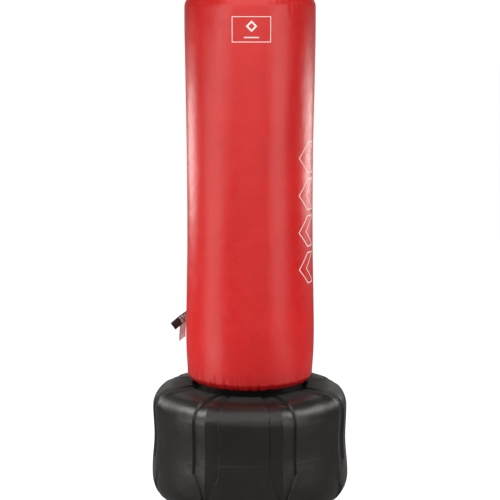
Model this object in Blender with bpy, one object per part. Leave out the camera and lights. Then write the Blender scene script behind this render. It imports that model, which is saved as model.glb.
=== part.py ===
"""Free-standing punching bag: a filled plastic base, a two-stage spring neck and a padded bag.

Metres, +Z up. The origin is the middle of the base's underside and the front faces -Y.
An azimuth is measured round +Z from the front: 90 degrees is the right side (+X), 180 the back.
"""

import math

import bmesh
import bpy
from mathutils import Matrix, Vector

GAP = 0.0003  # air left between two pieces that touch
WELD = 0.000002  # corners closer than this are one corner

# Base tank, blow-moulded
TANK_RADIUS = 0.278  # at its widest, low on the wall; the panels' edges stand a little further out
TANK_FOOT_INSET = 0.050
TANK_LOW_HEIGHT = 0.064
TANK_WAIST_INSET = 0.007
TANK_WAIST_HEIGHT = 0.179
TANK_TOP_INSET = 0.0045
TANK_RIM_HEIGHT = 0.3144
TANK_SHOULDER = 0.054
TANK_TOP_SLOPE = 0.10
TANK_WALL = 0.0045
PANEL_COUNT = 8
PANEL_TURN = -3.7  # azimuth of the front panel's middle, degrees
PANEL_ANGLE = 28.4
PANEL_EDGE_ANGLE = 1.1
PANEL_STEP = 0.0065
PANEL_FLATNESS = 0.3  # 0 is a round panel, 1 a flat one
GROOVE_CROWN = 0.3  # how far the middle of a groove rises towards the panels
WELL_DEPTH = 0.0124  # below the rim; it leaves the bag room to lean
WELL_SIDE_RUN = 0.016
WELL_LIP_RUN = 0.004
WELL_LIP_RISE = 0.010
BOSS_RADIUS = 0.101
BOSS_RISE = 0.0076  # above the rim
BOSS_FILLET = 0.006
BOSS_BEVEL = 0.002
BOSS_THICKNESS = 0.034
SOCKET_RADIUS = 0.045
SOCKET_DEPTH = 0.068
FILL_DROP = 0.0524  # from the rim down to the water
BALLAST_CLEARANCE = 0.0006

# Filler port behind the bag, and its screw cap
PORT_INSET = 0.072  # from the tank's widest radius to the port's middle
PORT_POCKET_RADIUS = 0.027
PORT_SEAT_DROP = 0.0159  # from the rim down to the gasket's seat
PORT_BOSS_RADIUS = 0.031
PORT_BOSS_DEPTH = 0.0265  # of the collar below the seat
PORT_TO_WELL = 0.009
PORT_BOSS_SETTLE = 0.0015  # how far the collar's top sits below the panel on its inner side
PORT_BORE_RADIUS = 0.0160
CAP_HEAD_RADIUS = 0.0225
CAP_HEAD_THICKNESS = 0.0095
CAP_PLUG_CLEARANCE = 0.0006
CAP_PLUG_LENGTH = 0.014
CAP_BEVEL = 0.0015
CAP_GRIP_WIDTH = 0.007
CAP_GRIP_HEIGHT = 0.003
CAP_GRIP_SHORTENING = 0.0208  # how much shorter than the head's width the finger pockets are
GASKET_THICKNESS = 0.0025
GASKET_WIDTH = 0.004

# Neck: hub, two spring stages and the post plate
HUB_FLANGE_RADIUS = 0.092
PLATE_THICKNESS = 0.006
HUB_TUBE_CLEARANCE = 0.0006
HUB_TUBE_WALL = 0.003
HUB_TUBE_LENGTH = 0.064
DECK_RADIUS = 0.082
SPRINGS_PER_STAGE = 4
SPRING_CIRCLE = 0.055
SPRING_HEIGHT = 0.055
SPRING_COIL_RADIUS = 0.0165
SPRING_WIRE_RADIUS = 0.00225
SPRING_TURNS = 5
PILOT_CLEARANCE = 0.002
PILOT_HEIGHT = 0.006
BUFFER_RADIUS = 0.022
BUFFER_WAIST_DEPTH = 0.004
BUFFER_WAIST_SHARE = 0.5  # of the buffer's height, with a shoulder this far above and below it
BUFFER_SHOULDER_SHARE = 0.2
BUFFER_SHOULDER_DEPTH = 0.002
BUFFER_GAP = 0.010
HUB_SCREW_COUNT = 4
HUB_SCREW_CIRCLE = 0.080
HUB_SCREW_RADIUS = 0.004
HUB_SCREW_LENGTH = 0.022
HUB_SCREW_HEAD_RADIUS = 0.0075
HUB_SCREW_HEAD_HEIGHT = 0.005
SCREW_CLEARANCE = 0.0004
SCREW_HOLE_EXTRA = 0.002  # how much deeper than its screw a blind hole is
JOIN_OVERLAP = 0.002  # how far two parts of one casting or weldment run into each other

# Core post
POST_OUTER_RADIUS = 0.038
POST_WALL = 0.003
POST_TOP_DROP = 0.075  # from the bag's upper edge down to the post's end
POST_SOCKET_CLEARANCE = 0.0005
POST_SOCKET_WALL = 0.003
POST_SOCKET_HEIGHT = 0.060
POST_BOLT_RADIUS = 0.004
POST_BOLT_RISE = 0.035
POST_BOLT_HEAD_RADIUS = 0.0075
POST_BOLT_HEAD_HEIGHT = 0.0055
POST_NUT_HEIGHT = 0.0065
POST_BOLT_END = 0.003  # thread showing past the nut
POST_CAP_FLANGE = 0.004
POST_CAP_PLUG = 0.020

# Bag
BAG_CLEARANCE = 0.013  # from the tank's boss up to the cover's lower edge
BAG_HEIGHT = 1.070  # from the cover's lower edge to the seam round its top
BAG_RADIUS = 0.180  # at its widest, a little above the lower edge
BAG_LOWER_INSET = 0.0045
BAG_SIDE_INSETS = (  # (share of the way up the side, how far in from the widest radius)
    (0.0520, 0.0010),
    (0.1114, 0.0000),
    (0.2105, 0.0020),
    (0.3195, 0.0045),
    (0.4383, 0.0060),
    (0.6365, 0.0055),
    (0.7355, 0.0038),
    (0.8346, 0.0025),
    (0.9435, 0.0010),
)
BAG_UPPER_INSET = 0.0010
BAG_LOWER_CORNER = 0.0225
BAG_UPPER_CORNER = 0.038
BAG_CROWN = 0.014
COVER_THICKNESS = 0.0015
HEM_INSET = 0.0585
HEM_CORD_RADIUS = 0.0022
FOAM_WRAP_THICKNESS = 0.035
FOAM_WRAP_FOOT = 0.012  # width of the wrap's flat lower end
FOAM_CORE_DROP = 0.065  # from the bag's upper edge down to the core's end
FOAM_BOLT_ROOM = 0.012
FOAM_BOLT_POCKET = 0.022
NECK_HOLLOW_RADIUS = 0.115
BOARD_THICKNESS = 0.006
BOARD_INSET = 0.030

# Rear zip
ZIP_AZIMUTH = 180.0
ZIP_WIDTH = 0.028
ZIP_RISE = 0.050  # from the bag's lower edge up to the zip
ZIP_DROP = 0.043  # from the bag's upper edge down to the zip
ZIP_THICKNESS = 0.0012
SLIDER_WIDTH = 0.011
SLIDER_HEIGHT = 0.016
SLIDER_THICKNESS = 0.004
SLIDER_BEVEL = 0.0008
SLIDER_RISE = 0.077  # from the bag's lower edge up to the closed slider
PULL_LENGTH = 0.032
PULL_WIDTH = 0.008
PULL_THICKNESS = 0.002
PULL_BEVEL = 0.0006

# Rear strap, its hook patch and the sewn-in label
STRAP_AZIMUTH = -150.0
STRAP_RISE = 0.185  # from the bag's lower edge up to the strap's root
STRAP_WIDTH = 0.025
STRAP_LENGTH = 0.148
STRAP_THICKNESS = 0.0022
STRAP_DROP = 0.055
STRAP_ANCHOR_LENGTH = 0.034
PILE_START = 0.40
PILE_END = 0.86
PILE_THICKNESS = 0.0014
PILE_MARGIN = 0.002
HOOK_PATCH_LENGTH = 0.060
HOOK_PATCH_OFFSET = 0.045
LABEL_WIDTH = 0.022
LABEL_LENGTH = 0.046
LABEL_THICKNESS = 0.0006
LABEL_INSET = 0.012

ROUND_SEGMENTS = 32
SMALL_SEGMENTS = 24
FINE_SEGMENTS = 12
SPRING_STEPS_PER_TURN = 8
SPRING_WIRE_SIDES = 4

# Sizes that follow from the ones above
TANK_FOOT_RADIUS = TANK_RADIUS - TANK_FOOT_INSET
TANK_WAIST_RADIUS = TANK_RADIUS - TANK_WAIST_INSET
TANK_TOP_RADIUS = TANK_RADIUS - TANK_TOP_INSET
PORT_DISTANCE = TANK_RADIUS - PORT_INSET
PORT_SEAT_HEIGHT = TANK_RIM_HEIGHT - PORT_SEAT_DROP
PORT_BOSS_BOTTOM = PORT_SEAT_HEIGHT - PORT_BOSS_DEPTH
WELL_RADIUS = PORT_DISTANCE - PORT_BOSS_RADIUS - PORT_TO_WELL
WELL_FLOOR_RADIUS = WELL_RADIUS - WELL_SIDE_RUN
WELL_FLOOR_HEIGHT = TANK_RIM_HEIGHT - WELL_DEPTH
BOSS_HEIGHT = TANK_RIM_HEIGHT + BOSS_RISE
FILL_LEVEL = TANK_RIM_HEIGHT - FILL_DROP
HUB_TOP = BOSS_HEIGHT + GAP + PLATE_THICKNESS
LOWER_SPRING_BASE = HUB_TOP + GAP
MID_PLATE_BASE = LOWER_SPRING_BASE + SPRING_HEIGHT + GAP
UPPER_SPRING_BASE = MID_PLATE_BASE + PLATE_THICKNESS + GAP
POST_PLATE_BASE = UPPER_SPRING_BASE + SPRING_HEIGHT + GAP
POST_BASE = POST_PLATE_BASE + PLATE_THICKNESS + GAP
BAG_BOTTOM = BOSS_HEIGHT + BAG_CLEARANCE
BAG_TOP_EDGE = BAG_BOTTOM + BAG_HEIGHT
BAG_SIDE_LOW = BAG_BOTTOM + BAG_LOWER_CORNER
BAG_SIDE_HIGH = BAG_TOP_EDGE - BAG_UPPER_CORNER
BAG_STATIONS = (
    (BAG_SIDE_LOW, BAG_RADIUS - BAG_LOWER_INSET),
    *(
        (BAG_SIDE_LOW + share * (BAG_SIDE_HIGH - BAG_SIDE_LOW), BAG_RADIUS - inset)
        for share, inset in BAG_SIDE_INSETS
    ),
    (BAG_SIDE_HIGH, BAG_RADIUS - BAG_UPPER_INSET),
)
TOP_PANEL_RADIUS = BAG_RADIUS - BAG_UPPER_INSET - BAG_UPPER_CORNER - GAP
POST_TOP = BAG_TOP_EDGE - POST_TOP_DROP
FOAM_CORE_TOP = BAG_TOP_EDGE - FOAM_CORE_DROP
FOAM_WRAP_INNER_RADIUS = BAG_RADIUS - FOAM_WRAP_THICKNESS
HEM_RADIUS = BAG_RADIUS - HEM_INSET
BOARD_EDGE = BAG_RADIUS - BOARD_INSET
ZIP_BOTTOM = BAG_BOTTOM + ZIP_RISE
ZIP_TOP = BAG_TOP_EDGE - ZIP_DROP
SLIDER_Z = BAG_BOTTOM + SLIDER_RISE
STRAP_Z = BAG_BOTTOM + STRAP_RISE


def clear_scene():
    for obj in list(bpy.data.objects):
        bpy.data.objects.remove(obj, do_unlink=True)


def material(name, colour, roughness, metallic=0.0):
    found = bpy.data.materials.get(name)
    if found:
        return found
    made = bpy.data.materials.new(name)
    made.use_nodes = True
    shader = made.node_tree.nodes["Principled BSDF"]
    shader.inputs["Base Color"].default_value = (*colour, 1.0)
    shader.inputs["Roughness"].default_value = roughness
    shader.inputs["Metallic"].default_value = metallic
    made.diffuse_color = (*colour, 1.0)
    return made


def black_hdpe():
    return material("black_hdpe", (0.024, 0.023, 0.022), 0.42)


def water():
    return material("water", (0.35, 0.5, 0.55), 0.1)


def painted_steel():
    return material("painted_steel", (0.03, 0.03, 0.032), 0.45, 0.3)


def zinc_steel():
    return material("zinc_steel", (0.6, 0.61, 0.62), 0.35, 0.9)


def spring_steel():
    return material("spring_steel", (0.35, 0.35, 0.36), 0.4, 0.9)


def black_rubber():
    return material("black_rubber", (0.02, 0.02, 0.02), 0.85)


def plywood():
    return material("plywood", (0.55, 0.38, 0.2), 0.65)


def grey_foam():
    return material("grey_foam", (0.3, 0.3, 0.31), 0.9)


def white_foam():
    return material("white_foam", (0.8, 0.8, 0.78), 0.9)


def red_vinyl():
    return material("red_vinyl", (0.65, 0.03, 0.03), 0.45)


def black_webbing():
    return material("black_webbing", (0.02, 0.02, 0.021), 0.9)


def grey_pile():
    return material("grey_pile", (0.12, 0.12, 0.12), 0.95)


def white_satin():
    return material("white_satin", (0.85, 0.83, 0.82), 0.7)


def finish_mesh(bm, name, surface, smooth_angle=35.0):
    """Turns a bmesh into a node with outward faces and one material."""
    bmesh.ops.recalc_face_normals(bm, faces=bm.faces)
    mesh = bpy.data.meshes.new(name)
    bm.to_mesh(mesh)
    bm.free()
    mesh.shade_smooth()
    mesh.set_sharp_from_angle(angle=math.radians(smooth_angle))
    mesh.materials.append(surface)
    obj = bpy.data.objects.new(name, mesh)
    bpy.context.scene.collection.objects.link(obj)
    return obj


def lathe(name, profile, surface, segments=ROUND_SEGMENTS):
    """Spins a closed outline of (radius, height) points round +Z."""
    bm = bmesh.new()
    verts = [bm.verts.new((radius, 0.0, height)) for radius, height in profile]
    edges = [bm.edges.new(pair) for pair in zip(verts, verts[1:])]
    if profile[0][0] > 0.0 or profile[-1][0] > 0.0:
        edges.append(bm.edges.new((verts[-1], verts[0])))
    bmesh.ops.spin(
        bm, geom=verts + edges, cent=(0, 0, 0), axis=(0, 0, 1),
        angle=2.0 * math.pi, steps=segments, use_merge=True,
    )
    bmesh.ops.remove_doubles(bm, verts=bm.verts, dist=1e-6)
    return finish_mesh(bm, name, surface)


def ring(name, inner, outer, low, high, surface, segments=ROUND_SEGMENTS):
    """A plain washer or tube between two radii."""
    outline = [(inner, low), (outer, low), (outer, high), (inner, high)]
    return lathe(name, outline, surface, segments)


def disc(name, radius, low, high, surface, segments=ROUND_SEGMENTS):
    """A plain solid cylinder."""
    outline = [(0.0, low), (radius, low), (radius, high), (0.0, high)]
    return lathe(name, outline, surface, segments)


def box(name, size, centre, surface, bevel=0.0):
    bm = bmesh.new()
    bmesh.ops.create_cube(bm, size=1.0, matrix=Matrix.Diagonal((*size, 1.0)))
    if bevel:
        bmesh.ops.bevel(bm, geom=bm.edges[:], offset=bevel, segments=2, affect="EDGES", profile=0.5)
    obj = finish_mesh(bm, name, surface)
    obj.location = centre
    return obj


def cut_with(target, cutter, operation="DIFFERENCE"):
    """Applies one exact Boolean to target and removes the helper."""
    modifier = target.modifiers.new(operation.lower(), "BOOLEAN")
    modifier.operation = operation
    modifier.solver = "EXACT"
    modifier.object = cutter
    bpy.context.view_layer.update()
    graph = bpy.context.evaluated_depsgraph_get()
    result = bpy.data.meshes.new_from_object(target.evaluated_get(graph))
    target.modifiers.clear()
    weld(result)
    old = target.data
    target.data = result
    target.data.name = target.name
    bpy.data.meshes.remove(old)
    bpy.data.objects.remove(cutter, do_unlink=True)


def weld(mesh):
    """Merges the doubled corners that a Boolean can leave where faces meet."""
    bm = bmesh.new()
    bm.from_mesh(mesh)
    bmesh.ops.remove_doubles(bm, verts=bm.verts, dist=WELD)
    bmesh.ops.dissolve_degenerate(bm, edges=bm.edges, dist=WELD)
    bm.to_mesh(mesh)
    bm.free()


def place(obj, location=(0.0, 0.0, 0.0), rotation=(0.0, 0.0, 0.0)):
    obj.location = location
    obj.rotation_euler = rotation
    return obj


def at_azimuth(azimuth, distance, height=0.0):
    """The point at this azimuth, distance from the axis and height."""
    angle = math.radians(azimuth)
    return Vector((distance * math.sin(angle), -distance * math.cos(angle), height))


def arc(centre, radii, start, end, steps):
    """Points on an ellipse's arc in the (radius, height) plane, angles in degrees."""
    points = []
    for step in range(steps + 1):
        angle = math.radians(start + (end - start) * step / steps)
        points.append((centre[0] + radii[0] * math.cos(angle), centre[1] + radii[1] * math.sin(angle)))
    return points


def eased(start, end, steps):
    """Points from start to end that leave and arrive vertically, without the first one."""
    points = []
    for step in range(1, steps + 1):
        share = step / steps
        blend = 0.5 - 0.5 * math.cos(math.pi * share)
        points.append((start[0] + (end[0] - start[0]) * blend, start[1] + (end[1] - start[1]) * share))
    return points


# ---------------------------------------------------------------- base


def tank_profile():
    """The panels' own outline from the foot up to the lip of the well under the bag."""
    foot_round = (TANK_RADIUS - TANK_FOOT_RADIUS, TANK_LOW_HEIGHT)
    points = arc((TANK_FOOT_RADIUS, TANK_LOW_HEIGHT), foot_round, -90.0, 0.0, 5)
    low = (TANK_RADIUS, TANK_LOW_HEIGHT)
    waist = (TANK_WAIST_RADIUS, TANK_WAIST_HEIGHT)
    top = (TANK_TOP_RADIUS, TANK_RIM_HEIGHT - TANK_SHOULDER)
    points += eased(low, waist, 3)
    points += eased(waist, top, 3)
    turn = 90.0 - math.degrees(math.atan(TANK_TOP_SLOPE))
    shoulder_centre = (TANK_TOP_RADIUS - TANK_SHOULDER, TANK_RIM_HEIGHT - TANK_SHOULDER)
    points += arc(shoulder_centre, (TANK_SHOULDER, TANK_SHOULDER), 0.0, turn, 5)[1:]
    points.append((WELL_RADIUS, tank_top_at(WELL_RADIUS)))
    return points


def tank_top_at(radius):
    """Height of the panels on the sloping top of the tank."""
    turn = math.atan(TANK_TOP_SLOPE)
    centre = TANK_TOP_RADIUS - TANK_SHOULDER
    end_radius = centre + TANK_SHOULDER * math.sin(turn)
    end_height = TANK_RIM_HEIGHT - TANK_SHOULDER * (1.0 - math.cos(turn))
    return end_height + (end_radius - radius) * TANK_TOP_SLOPE


def outward_normals(points):
    normals = []
    for index in range(len(points)):
        before = points[max(index - 1, 0)]
        after = points[min(index + 1, len(points) - 1)]
        along = (after[0] - before[0], after[1] - before[1])
        length = math.hypot(*along)
        normals.append((along[1] / length, -along[0] / length))
    return normals


def tank_columns():
    """(azimuth, share of the panel step) for each column of the tank's skin, all the way round."""
    columns = []
    half = PANEL_ANGLE / 2.0
    pitch = 360.0 / PANEL_COUNT
    for panel in range(PANEL_COUNT):
        middle = PANEL_TURN + panel * pitch
        columns.append((middle - half - PANEL_EDGE_ANGLE, 0.0))
        for share in (-1.0, -0.5, 0.0, 0.5, 1.0):
            columns.append((middle + share * half, 1.0))
        columns.append((middle + half + PANEL_EDGE_ANGLE, 0.0))
        columns.append((middle + pitch / 2.0, GROOVE_CROWN))
    return columns


def panel_swell(azimuth):
    """A panel's edges stand further out than its middle, because it is flatter than round."""
    pitch = 360.0 / PANEL_COUNT
    off_middle = (azimuth - PANEL_TURN + pitch / 2.0) % pitch - pitch / 2.0
    limited = min(abs(off_middle), PANEL_ANGLE / 2.0)
    return 1.0 + PANEL_FLATNESS * (1.0 / math.cos(math.radians(limited)) - 1.0)


def groove_fade(height):
    """The grooves run out where the wall rounds under at the foot."""
    return min(1.0, height / TANK_LOW_HEIGHT) ** 0.5


def tank_skin():
    """The tank's outside as one closed body: panelled wall and top, plain well, boss and underside."""
    bm = bmesh.new()
    panelled = tank_profile()
    normals = outward_normals(panelled)
    columns = tank_columns()
    rings = []
    for (radius, height), (across, up) in zip(panelled, normals):
        fade = groove_fade(height)
        row = []
        for azimuth, proud in columns:
            step = PANEL_STEP * (1.0 - proud) * fade
            out = radius * panel_swell(azimuth) - across * step
            row.append(bm.verts.new(at_azimuth(azimuth, out, max(0.0, height - up * step))))
        rings.append(row)
    inner_profile = (
        (WELL_RADIUS - WELL_LIP_RUN, WELL_FLOOR_HEIGHT + WELL_LIP_RISE),
        (WELL_FLOOR_RADIUS, WELL_FLOOR_HEIGHT),
        (BOSS_RADIUS + BOSS_FILLET, WELL_FLOOR_HEIGHT),
        (BOSS_RADIUS, WELL_FLOOR_HEIGHT + BOSS_FILLET),
        (BOSS_RADIUS, BOSS_HEIGHT - BOSS_BEVEL),
        (BOSS_RADIUS - BOSS_BEVEL, BOSS_HEIGHT),
    )
    for radius, height in inner_profile:
        rings.append([bm.verts.new(at_azimuth(azimuth, radius, height)) for azimuth, _ in columns])
    count = len(columns)
    for lower, upper in zip(rings, rings[1:]):
        for index in range(count):
            following = (index + 1) % count
            bm.faces.new((lower[index], lower[following], upper[following], upper[index]))
    bm.faces.new(rings[-1])
    bm.faces.new(list(reversed(rings[0])))
    return finish_mesh(bm, "base_tank", black_hdpe(), smooth_angle=28.0)


def cavity_profile(inset, ceiling=None):
    """Outline of the tank's hollow, from the axis at the bottom to the axis at the top."""
    skin = PANEL_STEP + TANK_WALL + inset
    outer = tank_profile()
    shifted = [(0.0, TANK_WALL + inset)]
    for (radius, height), (across, up) in zip(outer, outward_normals(outer)):
        inner = (radius - across * skin, max(TANK_WALL + inset, height - up * skin))
        if ceiling is None or inner[1] < ceiling:
            shifted.append(inner)
    socket_wall = SOCKET_RADIUS + TANK_WALL + inset
    socket_floor = BOSS_HEIGHT - SOCKET_DEPTH - TANK_WALL - inset
    if ceiling is not None:
        rim = shifted[-1][0]
        shifted.append((rim, ceiling))
        shifted.append((socket_wall, ceiling))
    else:
        well_ceiling = WELL_FLOOR_HEIGHT - TANK_WALL
        boss_ceiling = BOSS_HEIGHT - BOSS_THICKNESS
        shifted.append((WELL_RADIUS - TANK_WALL, well_ceiling))
        shifted.append((BOSS_RADIUS + TANK_WALL, well_ceiling))
        shifted.append((BOSS_RADIUS, boss_ceiling))
        shifted.append((socket_wall, boss_ceiling))
    shifted.append((socket_wall, socket_floor))
    shifted.append((0.0, socket_floor))
    return shifted


def make_tank():
    tank = tank_skin()
    cut_with(tank, lathe("cavity", cavity_profile(0.0), black_hdpe(), SMALL_SEGMENTS))
    port = at_azimuth(180.0 + PANEL_TURN, PORT_DISTANCE)
    pocket_top = TANK_RIM_HEIGHT + TANK_SHOULDER
    boss_top = tank_top_at(PORT_DISTANCE - PORT_BOSS_RADIUS) - PORT_BOSS_SETTLE
    boss = disc("port_boss", PORT_BOSS_RADIUS, PORT_BOSS_BOTTOM, boss_top, black_hdpe(), SMALL_SEGMENTS)
    cut_with(tank, place(boss, port), "UNION")
    pocket = disc("pocket", PORT_POCKET_RADIUS, PORT_SEAT_HEIGHT, pocket_top, black_hdpe(), SMALL_SEGMENTS)
    cut_with(tank, place(pocket, port))
    bore_bottom = PORT_BOSS_BOTTOM - JOIN_OVERLAP
    bore = disc("bore", PORT_BORE_RADIUS, bore_bottom, pocket_top, black_hdpe(), SMALL_SEGMENTS)
    cut_with(tank, place(bore, port))
    socket_floor = BOSS_HEIGHT - SOCKET_DEPTH
    above_boss = BOSS_HEIGHT + JOIN_OVERLAP
    socket = disc("socket", SOCKET_RADIUS, socket_floor, above_boss, black_hdpe(), SMALL_SEGMENTS)
    cut_with(tank, socket)
    for azimuth in hub_screw_azimuths():
        depth = HUB_TOP - HUB_SCREW_LENGTH - SCREW_HOLE_EXTRA
        radius = HUB_SCREW_RADIUS + SCREW_CLEARANCE
        hole = disc("pilot_hole", radius, depth, above_boss, black_hdpe(), FINE_SEGMENTS)
        cut_with(tank, place(hole, at_azimuth(azimuth, HUB_SCREW_CIRCLE)))


def make_ballast():
    """The water that the user fills the tank with, level a little below the port."""
    lathe("ballast_water", cavity_profile(BALLAST_CLEARANCE, FILL_LEVEL), water(), SMALL_SEGMENTS)


def make_filler_cap():
    port = at_azimuth(180.0 + PANEL_TURN, PORT_DISTANCE)
    seat = PORT_SEAT_HEIGHT + GAP
    plug_radius = PORT_BORE_RADIUS - CAP_PLUG_CLEARANCE
    gasket_inner = plug_radius + GAP
    gasket = ring(
        "fill_cap_gasket", gasket_inner, gasket_inner + GASKET_WIDTH, seat,
        seat + GASKET_THICKNESS, black_rubber(), SMALL_SEGMENTS,
    )
    place(gasket, port)
    head = seat + GASKET_THICKNESS + GAP
    top = head + CAP_HEAD_THICKNESS
    outline = [
        (0.0, head - CAP_PLUG_LENGTH),
        (plug_radius, head - CAP_PLUG_LENGTH),
        (plug_radius, head),
        (CAP_HEAD_RADIUS, head),
        (CAP_HEAD_RADIUS, top - CAP_BEVEL),
        (CAP_HEAD_RADIUS - CAP_BEVEL, top),
        (0.0, top),
    ]
    cap = lathe("fill_cap", outline, black_hdpe(), SMALL_SEGMENTS)
    pocket_width = CAP_HEAD_RADIUS - CAP_GRIP_WIDTH - 2.0 * CAP_BEVEL
    pocket_length = 2.0 * CAP_HEAD_RADIUS - CAP_GRIP_SHORTENING
    for side in (-1.0, 1.0):
        offset = side * (CAP_HEAD_RADIUS + CAP_GRIP_WIDTH) / 2.0
        size = (pocket_width, pocket_length, 2.0 * CAP_GRIP_HEIGHT)
        cut_with(cap, box("finger_pocket", size, (offset, 0.0, top), black_hdpe()))
    place(cap, port)


# ---------------------------------------------------------------- neck


def spring_azimuths():
    return [45.0 + index * 360.0 / SPRINGS_PER_STAGE for index in range(SPRINGS_PER_STAGE)]


def hub_screw_azimuths():
    return [index * 360.0 / HUB_SCREW_COUNT for index in range(HUB_SCREW_COUNT)]


def spring_pilot_radius():
    return SPRING_COIL_RADIUS - SPRING_WIRE_RADIUS - PILOT_CLEARANCE


def add_pilots(plate, low, high):
    """Adds the short pins that keep each spring's end in place."""
    for azimuth in spring_azimuths():
        pin = disc("pilot", spring_pilot_radius(), low, high, painted_steel(), FINE_SEGMENTS)
        cut_with(plate, place(pin, at_azimuth(azimuth, SPRING_CIRCLE)), "UNION")


def make_hub():
    base = BOSS_HEIGHT + GAP
    outer = SOCKET_RADIUS - HUB_TUBE_CLEARANCE
    inner = outer - HUB_TUBE_WALL
    bottom = base - HUB_TUBE_LENGTH
    outline = [
        (0.0, base), (inner, base), (inner, bottom), (outer, bottom), (outer, base),
        (HUB_FLANGE_RADIUS, base), (HUB_FLANGE_RADIUS, HUB_TOP), (0.0, HUB_TOP),
    ]
    hub = lathe("neck_hub", outline, painted_steel(), SMALL_SEGMENTS)
    for azimuth in hub_screw_azimuths():
        radius = HUB_SCREW_RADIUS + SCREW_CLEARANCE
        low = base - JOIN_OVERLAP
        high = HUB_TOP + JOIN_OVERLAP
        hole = disc("screw_hole", radius, low, high, painted_steel(), FINE_SEGMENTS)
        cut_with(hub, place(hole, at_azimuth(azimuth, HUB_SCREW_CIRCLE)))
    add_pilots(hub, HUB_TOP - JOIN_OVERLAP, HUB_TOP + PILOT_HEIGHT)


def make_hub_screws():
    for index, azimuth in enumerate(hub_screw_azimuths()):
        head = HUB_TOP + GAP
        outline = [
            (0.0, HUB_TOP - HUB_SCREW_LENGTH), (HUB_SCREW_RADIUS, HUB_TOP - HUB_SCREW_LENGTH),
            (HUB_SCREW_RADIUS, head), (HUB_SCREW_HEAD_RADIUS, head),
            (HUB_SCREW_HEAD_RADIUS, head + HUB_SCREW_HEAD_HEIGHT), (0.0, head + HUB_SCREW_HEAD_HEIGHT),
        ]
        screw = lathe(f"hub_screw_{index + 1}", outline, zinc_steel(), FINE_SEGMENTS)
        place(screw, at_azimuth(azimuth, HUB_SCREW_CIRCLE))


def coil_spring(name, azimuth, base):
    """A compression spring with its wire swept along a helix, standing on base."""
    rise = SPRING_HEIGHT - 2.0 * SPRING_WIRE_RADIUS
    steps = SPRING_TURNS * SPRING_STEPS_PER_TURN
    bm = bmesh.new()
    rows = []
    for step in range(steps + 1):
        turn = 2.0 * math.pi * step / SPRING_STEPS_PER_TURN
        middle = Vector((
            SPRING_COIL_RADIUS * math.cos(turn), SPRING_COIL_RADIUS * math.sin(turn),
            SPRING_WIRE_RADIUS + rise * step / steps,
        ))
        outwards = Vector((math.cos(turn), math.sin(turn), 0.0))
        row = []
        for side in range(SPRING_WIRE_SIDES):
            angle = 2.0 * math.pi * side / SPRING_WIRE_SIDES
            offset = outwards * math.cos(angle) + Vector((0, 0, 1)) * math.sin(angle)
            row.append(bm.verts.new(middle + offset * SPRING_WIRE_RADIUS))
        rows.append(row)
    for first, second in zip(rows, rows[1:]):
        for side in range(SPRING_WIRE_SIDES):
            following = (side + 1) % SPRING_WIRE_SIDES
            bm.faces.new((first[side], first[following], second[following], second[side]))
    bm.faces.new(rows[0])
    bm.faces.new(rows[-1])
    spring = finish_mesh(bm, name, spring_steel(), smooth_angle=80.0)
    place(spring, at_azimuth(azimuth, SPRING_CIRCLE, base))


def make_springs():
    for stage, base in (("lower", LOWER_SPRING_BASE), ("upper", UPPER_SPRING_BASE)):
        for index, azimuth in enumerate(spring_azimuths()):
            coil_spring(f"{stage}_spring_{index + 1}", azimuth, base)


def make_buffers():
    """Rubber stops that the plates land on when the bag is driven down."""
    height = SPRING_HEIGHT - BUFFER_GAP
    for stage, base in (("lower", LOWER_SPRING_BASE), ("upper", UPPER_SPRING_BASE)):
        waist = BUFFER_RADIUS - BUFFER_WAIST_DEPTH
        waist_height = base + height * BUFFER_WAIST_SHARE
        reach = height * BUFFER_SHOULDER_SHARE
        outline = [
            (0.0, base), (BUFFER_RADIUS, base), (BUFFER_RADIUS, waist_height - reach),
            (waist, waist_height), (BUFFER_RADIUS - BUFFER_SHOULDER_DEPTH, waist_height + reach),
            (waist, base + height), (0.0, base + height),
        ]
        lathe(f"{stage}_buffer", outline, black_rubber(), SMALL_SEGMENTS)


def make_mid_plate():
    top = MID_PLATE_BASE + PLATE_THICKNESS
    plate = disc("mid_plate", DECK_RADIUS, MID_PLATE_BASE, top, painted_steel(), SMALL_SEGMENTS)
    add_pilots(plate, MID_PLATE_BASE - PILOT_HEIGHT, top + PILOT_HEIGHT)


def post_socket_outer():
    return POST_OUTER_RADIUS - POST_WALL - POST_SOCKET_CLEARANCE


def make_post_plate():
    """The top plate of the neck, with the short tube that the post slips over."""
    top = POST_PLATE_BASE + PLATE_THICKNESS
    plate = disc("post_plate", DECK_RADIUS, POST_PLATE_BASE, top, painted_steel(), SMALL_SEGMENTS)
    add_pilots(plate, POST_PLATE_BASE - PILOT_HEIGHT, POST_PLATE_BASE + JOIN_OVERLAP)
    outer = post_socket_outer()
    socket = ring(
        "post_socket", outer - POST_SOCKET_WALL, outer, top - JOIN_OVERLAP,
        top + POST_SOCKET_HEIGHT, painted_steel(), SMALL_SEGMENTS,
    )
    cut_with(plate, socket, "UNION")
    cut_with(plate, post_bolt_hole())


def post_bolt_hole():
    hole_radius = POST_BOLT_RADIUS + SCREW_CLEARANCE
    reach = 2.0 * POST_OUTER_RADIUS
    hole = disc("bolt_hole", hole_radius, -reach, reach, painted_steel(), FINE_SEGMENTS)
    return place(hole, (0.0, 0.0, POST_BASE + POST_BOLT_RISE), (0.0, math.radians(90.0), 0.0))


def make_post():
    inner = POST_OUTER_RADIUS - POST_WALL
    post = ring("core_post", inner, POST_OUTER_RADIUS, POST_BASE, POST_TOP, zinc_steel(), SMALL_SEGMENTS)
    cut_with(post, post_bolt_hole())


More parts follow.
